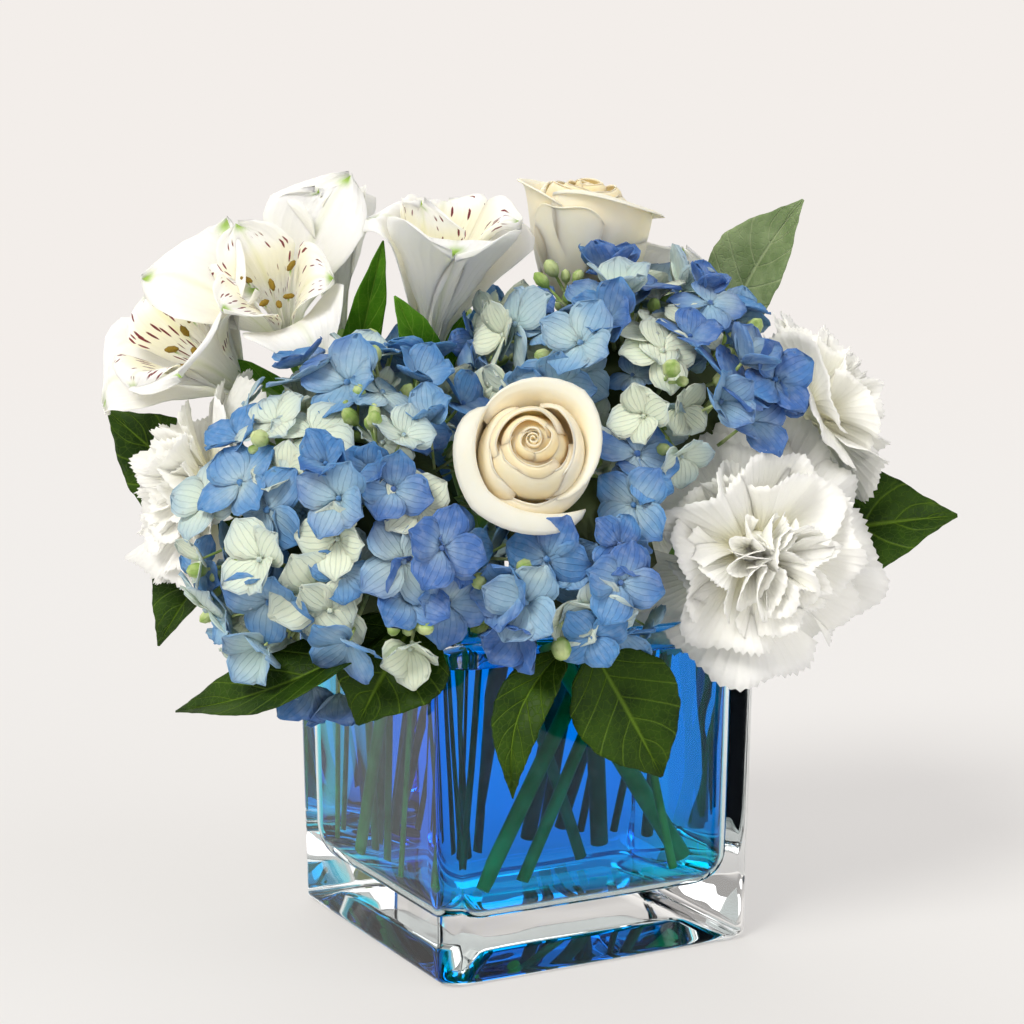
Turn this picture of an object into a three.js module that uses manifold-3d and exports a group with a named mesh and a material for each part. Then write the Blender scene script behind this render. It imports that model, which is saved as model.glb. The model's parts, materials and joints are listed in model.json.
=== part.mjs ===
// Cut flowers in a blue glass cube vase: mophead hydrangeas, cream roses, white carnations,
// white Peruvian lilies and lemon-leaf foliage, standing in water.
// Millimetres, +Z up. The origin is on the table, under the middle of the vase, whose front face looks along -Y.
import * as THREE from "three";
import { ConvexGeometry } from "three/addons/geometries/ConvexGeometry.js";
import { mergeVertices } from "three/addons/utils/BufferGeometryUtils.js";
import Module from "manifold-3d";

const wasm = await Module();
wasm.setup();

// ---------------------------------------------------------------- driving dimensions

// A 4.5 inch florist's cube: thick glass, with a bowl whose corners and floor edge are round.
const VASE = { half: 57, footHalf: 55.5, height: 107, corner: 6, edge: 1.5 };
const BOWL = { half: 51, floorHalf: 50, floor: 18, corner: 10, round: 12, cornerLeft: 2 };
const WATER_TOP = 99;
const GAP = 0.35; // between two pieces that touch

const FLORET = { radius: 16.5, thick: 0.8, lobeTurn: 0.42, notch: 0.42, leastLeft: 0.96 };
const ROSE = { radius: 25, depth: 42, thick: 1.1 };
const CARNATION = { thick: 1.1, root: 13 }; // root: how far its petals start behind its middle
const LILY = { reach: 29, depth: 40, thick: 1.1 };
const LEAF_THICK = 1.0;

// Radii of the stems; a bloom's stem widens to a cup under it.
const STEM = { hydrangea: 3.4, rose: 3, carnation: 2.4, lily: 2.2, stalk: 1.6, leafy: 1.5 };
const CUP = { rose: 5, carnation: 6 };
const STEM_SIDES = 5;

const FOOT_Z = 25; // height of the cut ends of the stems
const NECK_Z = 100; // where the stems leave the water

const COLOURS = {
  glass: { color: 0x9fd4ea, roughness: 0.05, metalness: 0 },
  water: { color: 0x0f86d8, roughness: 0.05, metalness: 0 },
  bluePetal: { color: 0x6f9ad6, roughness: 0.6, metalness: 0 },
  creamPetal: { color: 0xf6ecd4, roughness: 0.55, metalness: 0 },
  whitePetal: { color: 0xf5f4ee, roughness: 0.6, metalness: 0 },
  lilyPetal: { color: 0xfafaf6, roughness: 0.45, metalness: 0 },
  leaf: { color: 0x3d5f14, roughness: 0.4, metalness: 0 },
  stem: { color: 0x4f7a2c, roughness: 0.5, metalness: 0 },
};

// ---------------------------------------------------------------- where everything is

// at is the middle of the bloom, toward the way it faces. neck and foot are where its stem leaves the water
// and where it is cut, and via are points that the stem passes on the way up.
// A head is a dome, across by along, of florets round an inner mass of a share of its size.
const HYDRANGEAS = [
  {
    name: "hydrangea_front", at: [-10, -58, 134], toward: [-0.3, -0.93, 0.2],
    across: 40, along: 28, core: 0.56, florets: 20,
    neck: [-12, -39], foot: [40, -28], via: [[-11, -42, 115]],
  },
  {
    name: "hydrangea_left", at: [-67, -17, 140], toward: [-0.62, -0.62, 0.48],
    across: 55, along: 44, core: 0.72, florets: 26,
    neck: [-40, -8], foot: [-44, 16], via: [[-45, -9, 113]],
  },
  {
    name: "hydrangea_right", at: [32, -24, 178], toward: [0.22, -0.3, 0.93],
    across: 57, along: 42, core: 0.72, florets: 28,
    neck: [14, -6], foot: [24, 10], via: [[22, -12, 130]],
  },
  {
    name: "hydrangea_back", at: [3, 52, 150], toward: [-0.1, 0.84, 0.53],
    across: 48, along: 36, core: 0.72, florets: 15,
    neck: [-4, 28], foot: [-20, 24], via: [[-5, 33, 118]],
  },
];
const ROSES = [
  {
    name: "rose_front", at: [-32, -67, 165], toward: [-0.4, -0.8, 0.45],
    neck: [12, -21], foot: [-36, -34], via: [[7, -20, 126], [-6, -28, 146]],
  },
  {
    name: "rose_back", at: [32, 10, 226], toward: [0.08, -0.16, 0.98],
    neck: [16, 18], foot: [6, 34], via: [[22, 24, 145], [28, 21, 175]],
  },
];
const CARNATIONS = [
  {
    name: "carnation_front", at: [43, -80, 131], toward: [-0.18, -0.95, 0.12], size: 1.0,
    neck: [20, -24], foot: [-20, -30], via: [[32, -34, 113]],
  },
  {
    name: "carnation_right", at: [90, -46, 175], toward: [0.82, -0.2, 0.5], size: 0.95,
    neck: [40, -14], foot: [44, 14], via: [[50, -24, 130]],
  },
  {
    name: "carnation_left", at: [-104, 34, 150], toward: [-0.92, 0.12, 0.25], size: 1.0,
    neck: [-40, 14], foot: [-28, 18], via: [[-47, 19, 115]],
  },
  {
    name: "carnation_back", at: [72, 36, 138], toward: [0.88, 0.45, 0.12], size: 0.95,
    neck: [41, 26], foot: [22, 44], via: [[50, 29, 113]],
  },
];
// A spray of Peruvian lilies: one stem that splits into the flowers' own stalks, with a few narrow leaves.
const LILY_SPRAYS = [
  {
    name: "lily_stem_left", neck: [-20, 12], foot: [-36, 2], via: [[-31, 25, 132]], split: [-46, 45, 158],
    flowers: [
      { name: "lily_facing", at: [-74, 32, 215], toward: [-0.42, -0.62, 0.66] },
      { name: "lily_upright", at: [-46, 52, 232], toward: [-0.05, 0.15, 0.98] },
      { name: "lily_outer", at: [-101, 58, 198], toward: [-0.8, -0.15, 0.58] },
    ],
    leaves: [
      { to: [-46, 6, 226], face: [-0.3, -0.9, 0.2], width: 13 },
      { to: [-84, 62, 186], face: [-0.3, 0.5, 0.8], width: 12 },
    ],
  },
  {
    name: "lily_stem_middle", neck: [-16, -8], foot: [10, -8], via: [[-19, 0, 138]], split: [-25, 11, 172],
    flowers: [{ name: "lily_middle", at: [-22, 4, 233], toward: [0.1, -0.2, 0.97] }],
    leaves: [
      { to: [-46, -2, 209], face: [-0.2, -0.9, 0.3], width: 14 },
      { to: [-6, 26, 222], face: [0.3, 0.8, 0.3], width: 12 },
    ],
  },
  {
    name: "lily_stem_back", neck: [26, 32], foot: [16, 44], via: [[33, 33, 130]], split: [40, 33, 155],
    flowers: [{ name: "lily_behind", at: [66, 33, 211], toward: [0.35, 0.2, 0.9] }],
    leaves: [
      { to: [70, 46, 186], face: [0.2, 0.3, 0.9], width: 13 },
      { to: [26, 62, 192], face: [-0.2, 0.3, 0.9], width: 13 },
    ],
  },
];
// A leafy stem, whose leaves spread from its top: to is a leaf's tip, and face the way its upper side looks.
const LEAFY_STEMS = [
  {
    name: "foliage_left_front", neck: [-42, -25], foot: [-45, -16], via: [[-49, -37, 113]], top: [-57, -43, 116],
    leaves: [
      { to: [-122, -4, 84], face: [0.1, -0.55, 0.85], width: 26, arch: 7 },
      { to: [-80, -46, 84], face: [-0.35, -0.8, 0.5], width: 37, arch: 5 },
    ],
  },
  {
    name: "foliage_front", neck: [12, -44], foot: [30, -44], via: [[4, -48, 110]], top: [-12, -62, 109],
    leaves: [
      { to: [-36, -70, 62], face: [-0.55, -0.8, 0.2], width: 18, arch: 3 },
      { to: [11, -72, 63], face: [-0.3, -0.95, 0.1], width: 34, arch: 4 },
    ],
  },
  {
    name: "foliage_right", neck: [44, 4], foot: [36, 26], via: [[50, -2, 113]], top: [68, -28, 122],
    leaves: [
      { to: [121, -74, 137], face: [-0.25, -0.75, 0.6], width: 44, arch: 4 },
      { to: [118, 6, 128], face: [0.2, -0.2, 0.95], width: 40, arch: 8 },
    ],
  },
  {
    name: "foliage_top_right", neck: [34, 14], foot: [26, 34], via: [[57, 20, 150]], top: [84, 10, 186],
    leaves: [
      { to: [91, -27, 238], face: [-0.75, -0.5, 0.4], width: 38, arch: 6 },
      { to: [112, 36, 202], face: [-0.3, -0.1, 0.95], width: 36, arch: 7 },
    ],
  },
  {
    name: "foliage_left", neck: [-40, 34], foot: [-44, 34], via: [[-48, 41, 113]], top: [-66, 68, 122],
    leaves: [
      { to: [-106, 101, 166], face: [-0.5, -0.75, 0.4], width: 34, arch: 5 },
      { to: [-112, 38, 96], face: [-0.4, -0.3, 0.85], width: 32, arch: 6 },
      { to: [-76, 106, 92], face: [-0.2, 0.5, 0.85], width: 36, arch: 7 },
    ],
  },
  {
    name: "foliage_back", neck: [-20, 42], foot: [-28, 44], via: [[-24, 48, 110.5]], top: [-28, 64, 112],
    leaves: [
      { to: [-44, 94, 74], face: [-0.3, 0.8, 0.5], width: 36, arch: 5 },
      { to: [10, 96, 84], face: [0.2, 0.7, 0.7], width: 36, arch: 6 },
    ],
  },
];

// ---------------------------------------------------------------- small helpers

const vector = (p) => new THREE.Vector3(...p);

// The same few numbers for the same n, evenly spread from 0 to 1.
function scatter(n) {
  const s = Math.sin(n * 12.9898 + 4.1414) * 43758.5453;
  return s - Math.floor(s);
}

function shape(points, faces) {
  const geometry = new THREE.BufferGeometry().setFromPoints(points);
  geometry.setIndex(faces.flat());
  return geometry;
}

// A closed geometry as a solid, with shared points merged and collapsed faces left out.
function solidOf(geometry) {
  const bare = new THREE.BufferGeometry().setAttribute("position", geometry.getAttribute("position"));
  if (geometry.index) bare.setIndex(geometry.index);
  const merged = mergeVertices(bare, 1e-3);
  const corners = merged.index.array;
  const kept = [];
  for (let i = 0; i < corners.length; i += 3) {
    const [a, b, c] = corners.subarray(i, i + 3);
    if (a !== b && b !== c && c !== a) kept.push(a, b, c);
  }
  const mesh = new wasm.Mesh({
    numProp: 3,
    vertProperties: merged.attributes.position.array,
    triVerts: new Uint32Array(kept),
  });
  return new wasm.Manifold(mesh);
}

const joined = (solids) => wasm.Manifold.union(solids);

function together(parts) {
  return { solid: joined(parts.map((p) => p.solid)), clear: joined(parts.map((p) => p.clear)) };
}

// What is left after cuts can fall apart: the largest body is the piece, and scraps are dropped.
function largestBody(solid) {
  return solid.decompose().reduce((a, b) => (b.volume() > a.volume() ? b : a));
}

const UP = new THREE.Vector3(0, 0, 1);
const turnTo = (toward) => new THREE.Quaternion().setFromUnitVectors(UP, toward.clone().normalize());

// Turns +Z to a direction and moves the origin to a point.
function placed(geometry, at, toward, spin = 0) {
  return geometry.clone().rotateZ(spin).applyQuaternion(turnTo(toward)).translate(at.x, at.y, at.z);
}

// A closed body through rings of equally many points, each counter-clockwise seen from ahead.
function loft(rings) {
  const count = rings[0].length;
  const middle = (ring) => ring.reduce((sum, p) => sum.add(p), new THREE.Vector3()).divideScalar(count);
  const points = [...rings.flat(), middle(rings[0]), middle(rings.at(-1))];
  const first = points.length - 2;
  const faces = [];
  for (let i = 0; i < count; i++) {
    const j = (i + 1) % count;
    const last = (rings.length - 1) * count;
    faces.push([first, j, i], [first + 1, last + i, last + j]);
    for (let r = 0; r + 1 < rings.length; r++) {
      const [a, b] = [r * count, (r + 1) * count];
      faces.push([a + i, a + j, b + j], [a + i, b + j, b + i]);
    }
  }
  return shape(points, faces);
}

// A round rod along points, with its radius at each of them, grown by a clearance on every side.
function rod(points, radii, grow = 0) {
  const spread = grow / Math.cos(Math.PI / STEM_SIDES);
  const rings = [];
  const side = new THREE.Vector3();
  points.forEach((p, i) => {
    const before = points[Math.max(i - 1, 0)];
    const after = points[Math.min(i + 1, points.length - 1)];
    const along = after.clone().sub(before).normalize();
    if (i === 0) side.set(1, 0.3, 0).cross(along).normalize();
    side.addScaledVector(along, -side.dot(along)).normalize();
    const other = along.clone().cross(side);
    const end = i === 0 ? -grow : i === points.length - 1 ? grow : 0;
    const ring = [];
    for (let k = 0; k < STEM_SIDES; k++) {
      const angle = (k / STEM_SIDES) * 2 * Math.PI;
      const reach = radii[i] + spread;
      ring.push(
        p.clone()
          .addScaledVector(along, end)
          .addScaledVector(side, reach * Math.cos(angle))
          .addScaledVector(other, reach * Math.sin(angle)),
      );
    }
    rings.push(ring);
  });
  return loft(rings);
}

// A thin plate on a grid of points. A row or a side whose points coincide becomes a tip.
function blade(grid, thick) {
  const [rows, columns] = [grid.length, grid[0].length];
  const clamp = (n, most) => Math.min(Math.max(n, 0), most);
  const pinched = (row) => row[0].distanceTo(row[columns - 1]) < 1e-3;
  function normal(i, j) {
    const tip = pinched(grid[i]);
    const row = tip ? grid[i === 0 ? 1 : i - 1] : grid[i]; // a tip takes the slope of the row next to it
    const left = tip ? 0 : clamp(j - 1, columns - 1);
    const right = tip ? columns - 1 : clamp(j + 1, columns - 1);
    const column = tip ? Math.floor(columns / 2) : j;
    const across = row[right].clone().sub(row[left]);
    const along = grid[clamp(i + 1, rows - 1)][column].clone().sub(grid[clamp(i - 1, rows - 1)][column]);
    return across.cross(along).normalize();
  }
  const points = [];
  for (const side of [thick / 2, -thick / 2]) {
    grid.forEach((row, i) => {
      row.forEach((p, j) => points.push(p.clone().addScaledVector(normal(i, j), side)));
    });
  }
  const at = (i, j) => i * columns + j;
  const back = rows * columns;
  const faces = [];
  const edge = [];
  for (let i = 0; i + 1 < rows; i++) {
    for (let j = 0; j + 1 < columns; j++) {
      const [a, b, c, d] = [at(i, j), at(i, j + 1), at(i + 1, j + 1), at(i + 1, j)];
      faces.push([a, b, c], [a, c, d], [c + back, b + back, a + back], [d + back, c + back, a + back]);
    }
    edge.push([at(i, columns - 1), at(i + 1, columns - 1)], [at(i + 1, 0), at(i, 0)]);
  }
  for (let j = 0; j + 1 < columns; j++) {
    edge.push([at(0, j), at(0, j + 1)], [at(rows - 1, j + 1), at(rows - 1, j)]);
  }
  for (const [a, b] of edge) faces.push([b, a, a + back], [b, a + back, b + back]);
  return shape(points, faces);
}

// ---------------------------------------------------------------- vase and water

const CORNER_STEPS = 2;

// A square with round corners, as one ring of points at a height.
function squareRing(half, radius, z) {
  const ring = [];
  for (let corner = 0; corner < 4; corner++) {
    const middle = ((corner + 0.5) * Math.PI) / 2;
    for (let step = 0; step <= CORNER_STEPS; step++) {
      const turn = ((corner + step / CORNER_STEPS) * Math.PI) / 2;
      const x = (half - radius) * Math.sign(Math.cos(middle)) + radius * Math.cos(turn);
      const y = (half - radius) * Math.sign(Math.sin(middle)) + radius * Math.sin(turn);
      ring.push(new THREE.Vector3(x, y, z));
    }
  }
  return ring;
}

// The bowl's wall and rounded floor edge as rings from the floor up to a height, moved inwards by a clearance.
function bowlRings(top, inset) {
  const steps = [0, 0.3, 0.65, 1];
  const rings = steps.map((share) => {
    const turn = (share * Math.PI) / 2;
    const inwards = BOWL.round * (1 - Math.sin(turn)) + inset;
    const z = BOWL.floor + BOWL.round * (1 - Math.cos(turn)) + inset;
    const radius = THREE.MathUtils.lerp(BOWL.cornerLeft, BOWL.corner, share);
    return squareRing(BOWL.floorHalf - inwards, radius, z);
  });
  rings.push(squareRing(BOWL.half - inset, BOWL.corner, top));
  return rings;
}

function vase() {
  const { half, footHalf, height, corner, edge } = VASE;
  const outside = [
    squareRing(footHalf - edge, corner, 0),
    squareRing(footHalf, corner, edge),
    squareRing(half, corner, height - edge),
    squareRing(half - edge, corner, height),
  ];
  const inside = bowlRings(height - edge, 0).reverse();
  const lip = squareRing(BOWL.half + edge, BOWL.corner, height);
  return solidOf(loft([...outside, lip, ...inside]));
}

// The vase without its bowl, grown by a clearance: the room that the blooms above it leave free.
function vaseRoom() {
  const { half, height, corner } = VASE;
  return solidOf(loft([0, height + GAP].map((z) => squareRing(half + GAP, corner, z))));
}

function water(stemRoom) {
  return solidOf(loft(bowlRings(WATER_TOP, GAP))).subtract(stemRoom);
}

// ---------------------------------------------------------------- stems and leaves

// Straight from the cut end to the neck of the vase, then in a smooth curve through the points above.
function stemPath(neck, foot, above, steps = 4) {
  const start = new THREE.Vector3(...foot, FOOT_Z);
  const bend = new THREE.Vector3(...neck, NECK_Z);
  const curve = new THREE.CatmullRomCurve3([bend, ...above.map(vector)], false, "centripetal");
  return [start, ...curve.getPoints(steps)];
}

// radii are those of the last points; every point before them has the first of these.
function stemSolids(path, ...radii) {
  const all = path.map((_, i) => radii[Math.max(radii.length - path.length + i, 0)]);
  return { solid: solidOf(rod(path, all)), clear: solidOf(rod(path, all, GAP)) };
}

// How wide a leaf is at shares of its length, from its stalk to its tip, against its greatest width.
const lemonLeaf = [[0, 0.08], [0.12, 0.1], [0.25, 0.8], [0.42, 1], [0.6, 0.93], [0.78, 0.62], [1, 0]];
const lilyLeaf = [[0, 0.3], [0.3, 0.8], [0.55, 1], [0.8, 0.7], [1, 0]];

// A leaf from base to tip, folded a little along its midrib, arched, and waved along its edges.
function leaf(from, to, face, width, arch, outline, grow = 0) {
  const along = to.clone().sub(from);
  const length = along.length() + 2 * grow;
  along.normalize();
  const base = from.clone().addScaledVector(along, -grow);
  const up = face.clone().addScaledVector(along, -face.dot(along)).normalize();
  const side = along.clone().cross(up);
  const grid = outline.map(([s, share], i) => {
    const reach = (share * width) / 2 + (s < 1 ? grow : 0);
    const [fold, wave] = [0.16 * width, 0.06 * width * Math.sin(i * 2.4)];
    const spine = base.clone().addScaledVector(along, s * length).addScaledVector(up, arch * 4 * s * (1 - s));
    return [-1, 0, 1].map((u) => {
      const lift = Math.abs(u) * share * (fold + u * wave);
      return spine.clone().addScaledVector(side, u * reach).addScaledVector(up, lift);
    });
  });
  return solidOf(blade(grid, LEAF_THICK + 2 * grow));
}

function leafyStem({ neck, foot, via, top, leaves }) {
  const parts = [stemSolids(stemPath(neck, foot, [...via, top]), STEM.leafy, 0.7 * STEM.leafy)];
  for (const { to, face, width, arch } of leaves) {
    const sizes = [vector(top), vector(to), vector(face), width, arch, lemonLeaf];
    parts.push({ solid: leaf(...sizes), clear: leaf(...sizes, GAP) });
  }
  return together(parts);
}

// ---------------------------------------------------------------- hydrangea

// Four broad sepals as one domed plate, facing +Z, on a stalk that starts from the notches between them. It is
// grown by a clearance on every side.
function floret(size, stalk, cup, lift, grow = 0) {
  const { thick, lobeTurn, notch } = FLORET;
  const polar = (angle, r, z) => new THREE.Vector3(r * Math.cos(angle), r * Math.sin(angle), z + grow);
  const top = [];
  for (let lobe = 0; lobe < 4; lobe++) {
    const turn = (lobe * Math.PI) / 2;
    top.push(
      polar(turn - lobeTurn, size + grow, cup + lift),
      polar(turn + lobeTurn, size + grow, cup - lift),
      polar(turn + Math.PI / 4, size * notch + grow, 0.3 * cup),
    );
  }
  const count = top.length;
  const under = top.map((p) => p.clone().setZ(p.z - thick - 2 * grow));
  const points = [...top, ...under, new THREE.Vector3(0, 0, grow), new THREE.Vector3(0, 0, -stalk - grow)];
  const [middle, root] = [points.length - 2, points.length - 1];
  const faces = [];
  for (let i = 0; i < count; i++) {
    const j = (i + 1) % count;
    faces.push([middle, i, j], [j, i, count + i], [j, count + i, count + j]);
  }
  for (let lobe = 0; lobe < 4; lobe++) {
    const [before, a, b, after] = [-1, 0, 1, 2].map((k) => count + ((3 * lobe + k + count) % count));
    faces.push([before, b, a], [before, after, b], [root, after, before]);
  }
  return shape(points, faces);
}

// The florets' seats: a golden-angle spiral over the dome, from its crown down past its widest line.
function floretSeats({ across, along, florets }) {
  const lowest = -0.42; // how far past its widest line the florets go, as a share of the dome's height
  return Array.from({ length: florets }, (_, n) => {
    const up = 1 - ((n + 0.5) / florets) * (1 - lowest);
    const turn = n * Math.PI * (3 - Math.sqrt(5));
    const flat = Math.sqrt(1 - up * up);
    const unit = new THREE.Vector3(flat * Math.cos(turn), flat * Math.sin(turn), up);
    const out = 0.88 + 0.08 * (n % 3) + 0.02 * scatter(n); // neighbours in the spiral lie at three levels
    const at = new THREE.Vector3(unit.x * across, unit.y * across, unit.z * along).multiplyScalar(out);
    const outwards = new THREE.Vector3(unit.x / across, unit.y / across, unit.z / along).normalize();
    const tilt = new THREE.Vector3(scatter(n + 50) - 0.5, scatter(n + 90) - 0.5, scatter(n + 130) - 0.5);
    return { at, outwards: outwards.addScaledVector(tilt, 0.12).normalize(), spin: scatter(n + 170) * 2, n };
  });
}

// A floret that other pieces leave too little room for is made smaller, or isn't made.
function hydrangea(head, room) {
  const turn = turnTo(vector(head.toward));
  const [wide, deep] = [head.across * head.core, head.along * head.core];
  const core = (grow) =>
    new THREE.IcosahedronGeometry(1, 0)
      .scale(wide + grow, wide + grow, deep + grow)
      .applyQuaternion(turn)
      .translate(...head.at);
  const parts = [{ solid: solidOf(core(0)), clear: solidOf(core(2 * GAP)) }];
  for (const { at, outwards, spin, n } of floretSeats(head)) {
    const stalk = at.length() * (1 - 0.7 * head.core); // its root is well inside the inner mass
    const middle = at.applyQuaternion(turn).add(vector(head.at));
    const facing = outwards.applyQuaternion(turn);
    const fullSize = FLORET.radius * (0.88 + 0.24 * scatter(n + 210));
    for (const size of [fullSize, 0.82 * fullSize, 0.66 * fullSize]) {
      const cup = -(size * size) / (2 * head.along); // its edge follows the dome
      const form = [size, stalk, cup, 0.8 * (scatter(n + 290) - 0.5)];
      const made = (grow) => solidOf(placed(floret(...form, grow), middle, facing, spin));
      const whole = made(0);
      const solid = largestBody(whole.subtract(room));
      if (solid.volume() < FLORET.leastLeft * whole.volume()) continue;
      parts.push({ solid, clear: made(GAP) });
      break;
    }
  }
  return together(parts);
}

// ---------------------------------------------------------------- rose

// One petal of a cup, rounded at its top edge, which can roll outwards. One side edge stands further out than
// the other, so that it laps over the next petal without crossing it.
function cupPetal({ turn, half, low, wide, base, height, roll, columns }) {
  const [rows, lap] = [3, 1.5];
  const grid = [];
  for (let i = 0; i < rows; i++) {
    const v = i / (rows - 1);
    const row = [];
    for (let j = 0; j < columns; j++) {
      const u = (2 * j) / (columns - 1) - 1;
      const angle = turn + u * half * Math.sqrt(v);
      const cup = low + (wide - low) * Math.sin((v * Math.PI) / 2);
      const r = cup + roll * v * v * (1 - 0.3 * u * u) + lap * u * Math.sqrt(v);
      const z = base + height * v * (1 - 0.22 * u * u * v) - roll * 0.35 * v * v;
      row.push(new THREE.Vector3(r * Math.cos(angle), r * Math.sin(angle), z));
    }
    grid.push(row);
  }
  return solidOf(blade(grid, ROSE.thick));
}

function rose() {
  const { radius, depth } = ROSE;
  const base = -depth / 2;
  // low and wide are a petal's distance from the middle at its root and at its top, rise and height those levels
  // above the base and above each other.
  const whorls = [
    { petals: 5, half: 0.78, low: 6, wide: 0.92 * radius, rise: 1, height: 0.76 * depth, roll: 5, start: 0.3 },
    { petals: 4, half: 0.9, low: 5, wide: 0.66 * radius, rise: 5, height: 0.8 * depth, roll: 0.5, start: 0.9 },
    { petals: 3, half: 1.05, low: 3, wide: 0.4 * radius, rise: 10, height: 0.72 * depth, roll: -0.5, start: 0.1 },
  ];
  const solids = whorls.flatMap(({ petals, start, rise, ...form }, w) =>
    Array.from({ length: petals }, (_, k) => {
      const turn = start + (k * 2 * Math.PI) / petals;
      return cupPetal({ ...form, turn, base: base + rise, columns: w === 0 ? 4 : 3 });
    }),
  );
  // The middle: the youngest petals, rolled tight, on the base that all the petals grow from.
  const roll = [[0, -1], [9, 1], [12, 9], [4, 0.55 * depth], [3, 0.84 * depth], [0, 0.88 * depth]];
  const profile = roll.map(([r, z]) => new THREE.Vector2(r, base + z));
  solids.push(solidOf(new THREE.LatheGeometry(profile, 5).rotateX(Math.PI / 2)));
  return joined(solids);
}

// ---------------------------------------------------------------- carnation

// One frilled petal: a fan that opens outwards at an angle, with a toothed and ruffled outer edge.
function frillPetal({ turn, half, length, rise, ruffle, seed }) {
  const columns = 4;
  const rows = [0, 0.55, 1];
  const grid = rows.map((v, i) =>
    Array.from({ length: columns }, (_, j) => {
      const u = (2 * j) / (columns - 1) - 1;
      const tooth = i === 2 ? (j % 2 ? 2.6 : -1.2) - 3.5 * u * u : 0;
      const reach = v * (length + 2.5) + tooth;
      const slope = rise * (1 - 0.35 * v);
      const wave = ruffle * v * v * (j % 2 ? 1 : -1) * (0.7 + 0.6 * scatter(seed + j));
      const angle = turn + u * half * (0.75 + 0.25 * v);
      const flat = reach * Math.cos(slope) - wave * Math.sin(slope);
      return new THREE.Vector3(
        flat * Math.cos(angle),
        flat * Math.sin(angle),
        -CARNATION.root + reach * Math.sin(slope) + wave * Math.cos(slope),
      );
    }),
  );
  return solidOf(blade(grid, CARNATION.thick));
}

function carnation(seed) {
  const whorls = [
    { petals: 5, half: 0.6, length: 33, rise: 0.16, ruffle: 2.6 },
    { petals: 4, half: 0.74, length: 27.7, rise: 0.66, ruffle: 2.6 },
    { petals: 3, half: 0.9, length: 21.8, rise: 1.16, ruffle: 2.4 },
  ];
  const solids = whorls.flatMap(({ petals, ...form }, w) =>
    Array.from({ length: petals }, (_, k) => {
      const turn = seed + w * 0.6 + (k * 2 * Math.PI) / petals;
      return frillPetal({ ...form, turn, seed: seed + 10 * w + k });
    }),
  );
  solids.push(solidOf(new THREE.IcosahedronGeometry(9, 0).translate(0, 0, -CARNATION.root + 3)));
  return joined(solids);
}

// ---------------------------------------------------------------- Peruvian lily

// One tepal of the funnel, from the stalk up and out, pointed at its tip.
function tepal(turn, halfWidths, spread) {
  const { reach, depth } = LILY;
  const radii = [0, 0.3 * reach, 0.62 * reach, reach];
  const heights = [-1, -0.5, -0.05, 0.12];
  const out = new THREE.Vector3(Math.cos(turn), Math.sin(turn), 0);
  const side = new THREE.Vector3(Math.sin(turn), -Math.cos(turn), 0);
  const grid = radii.map((r, i) =>
    [-1, 0, 1].map((u) =>
      out.clone()
        .multiplyScalar(r * spread - 0.12 * Math.abs(u) * halfWidths[i])
        .addScaledVector(side, u * halfWidths[i])
        .setZ(heights[i] * depth + 0.28 * Math.abs(u) * halfWidths[i]),
    ),
  );
  return solidOf(blade(grid, LILY.thick));
}

function lily() {
  const solids = [];
  for (let k = 0; k < 3; k++) {
    const turn = 0.4 + (k * 2 * Math.PI) / 3;
    solids.push(tepal(turn, [0, 6, 12.5, 0], 1));
    solids.push(tepal(turn + Math.PI / 3, [0, 4, 8, 0], 0.8));
  }
  const tube = [[0, -2.5], [3.2, -1.5], [4.2, 5], [0, 11]];
  const profile = tube.map(([r, z]) => new THREE.Vector2(r, z - LILY.depth));
  solids.push(solidOf(new THREE.LatheGeometry(profile, 5).rotateX(Math.PI / 2)));
  return joined(solids);
}

// ---------------------------------------------------------------- the pieces, and how they are kept apart

// The room that a bloom takes: its convex outline, grown by a clearance.
function outlineOf(solid) {
  const larger = 1.03;
  const { vertProperties } = solid.getMesh();
  const points = [];
  for (let i = 0; i < vertProperties.length; i += 3) {
    points.push(new THREE.Vector3(...vertProperties.subarray(i, i + 3)));
  }
  const middle = new THREE.Box3().setFromPoints(points).getCenter(new THREE.Vector3());
  const outline = new ConvexGeometry(points).translate(...middle.clone().negate());
  return solidOf(outline.scale(larger, larger, larger).translate(...middle));
}

function moved(solid, at, toward, size = 1) {
  const sizes = new THREE.Vector3(size, size, size);
  return solid.transform(new THREE.Matrix4().compose(vector(at), turnTo(vector(toward)), sizes).elements);
}

// The stem of a bloom ends a distance behind the bloom's middle, and can widen to a cup there.
function bloomStem({ at, toward, neck, foot, via }, sink, radius, cupRadius = radius) {
  const straight = 14; // its last stretch, along the bloom's axis
  const axis = vector(toward).normalize();
  const end = vector(at).addScaledVector(axis, -sink);
  const behind = vector(at).addScaledVector(axis, -sink - straight);
  const path = [...stemPath(neck, foot, [...via, behind.toArray()]), end.clone().lerp(behind, 0.5), end];
  return stemSolids(path, radius, 0.8 * cupRadius, cupRadius);
}

function sprayStem({ neck, foot, via, split, flowers, leaves }) {
  const root = vector(split);
  const parts = [stemSolids(stemPath(neck, foot, [...via, split]), STEM.lily)];
  for (const { at, toward } of flowers) {
    const axis = vector(toward).normalize();
    const end = vector(at).addScaledVector(axis, 2 - LILY.depth);
    const behind = vector(at).addScaledVector(axis, -4 - LILY.depth);
    const curve = new THREE.CatmullRomCurve3([root.clone().lerp(vector(via.at(-1)), 0.06), behind, end]);
    parts.push(stemSolids(curve.getPoints(4), STEM.stalk));
  }
  for (const { to, face, width } of leaves) {
    const sizes = [root, vector(to), vector(face), width, 4, lilyLeaf];
    parts.push({ solid: leaf(...sizes), clear: leaf(...sizes, GAP) });
  }
  return together(parts);
}

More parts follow.
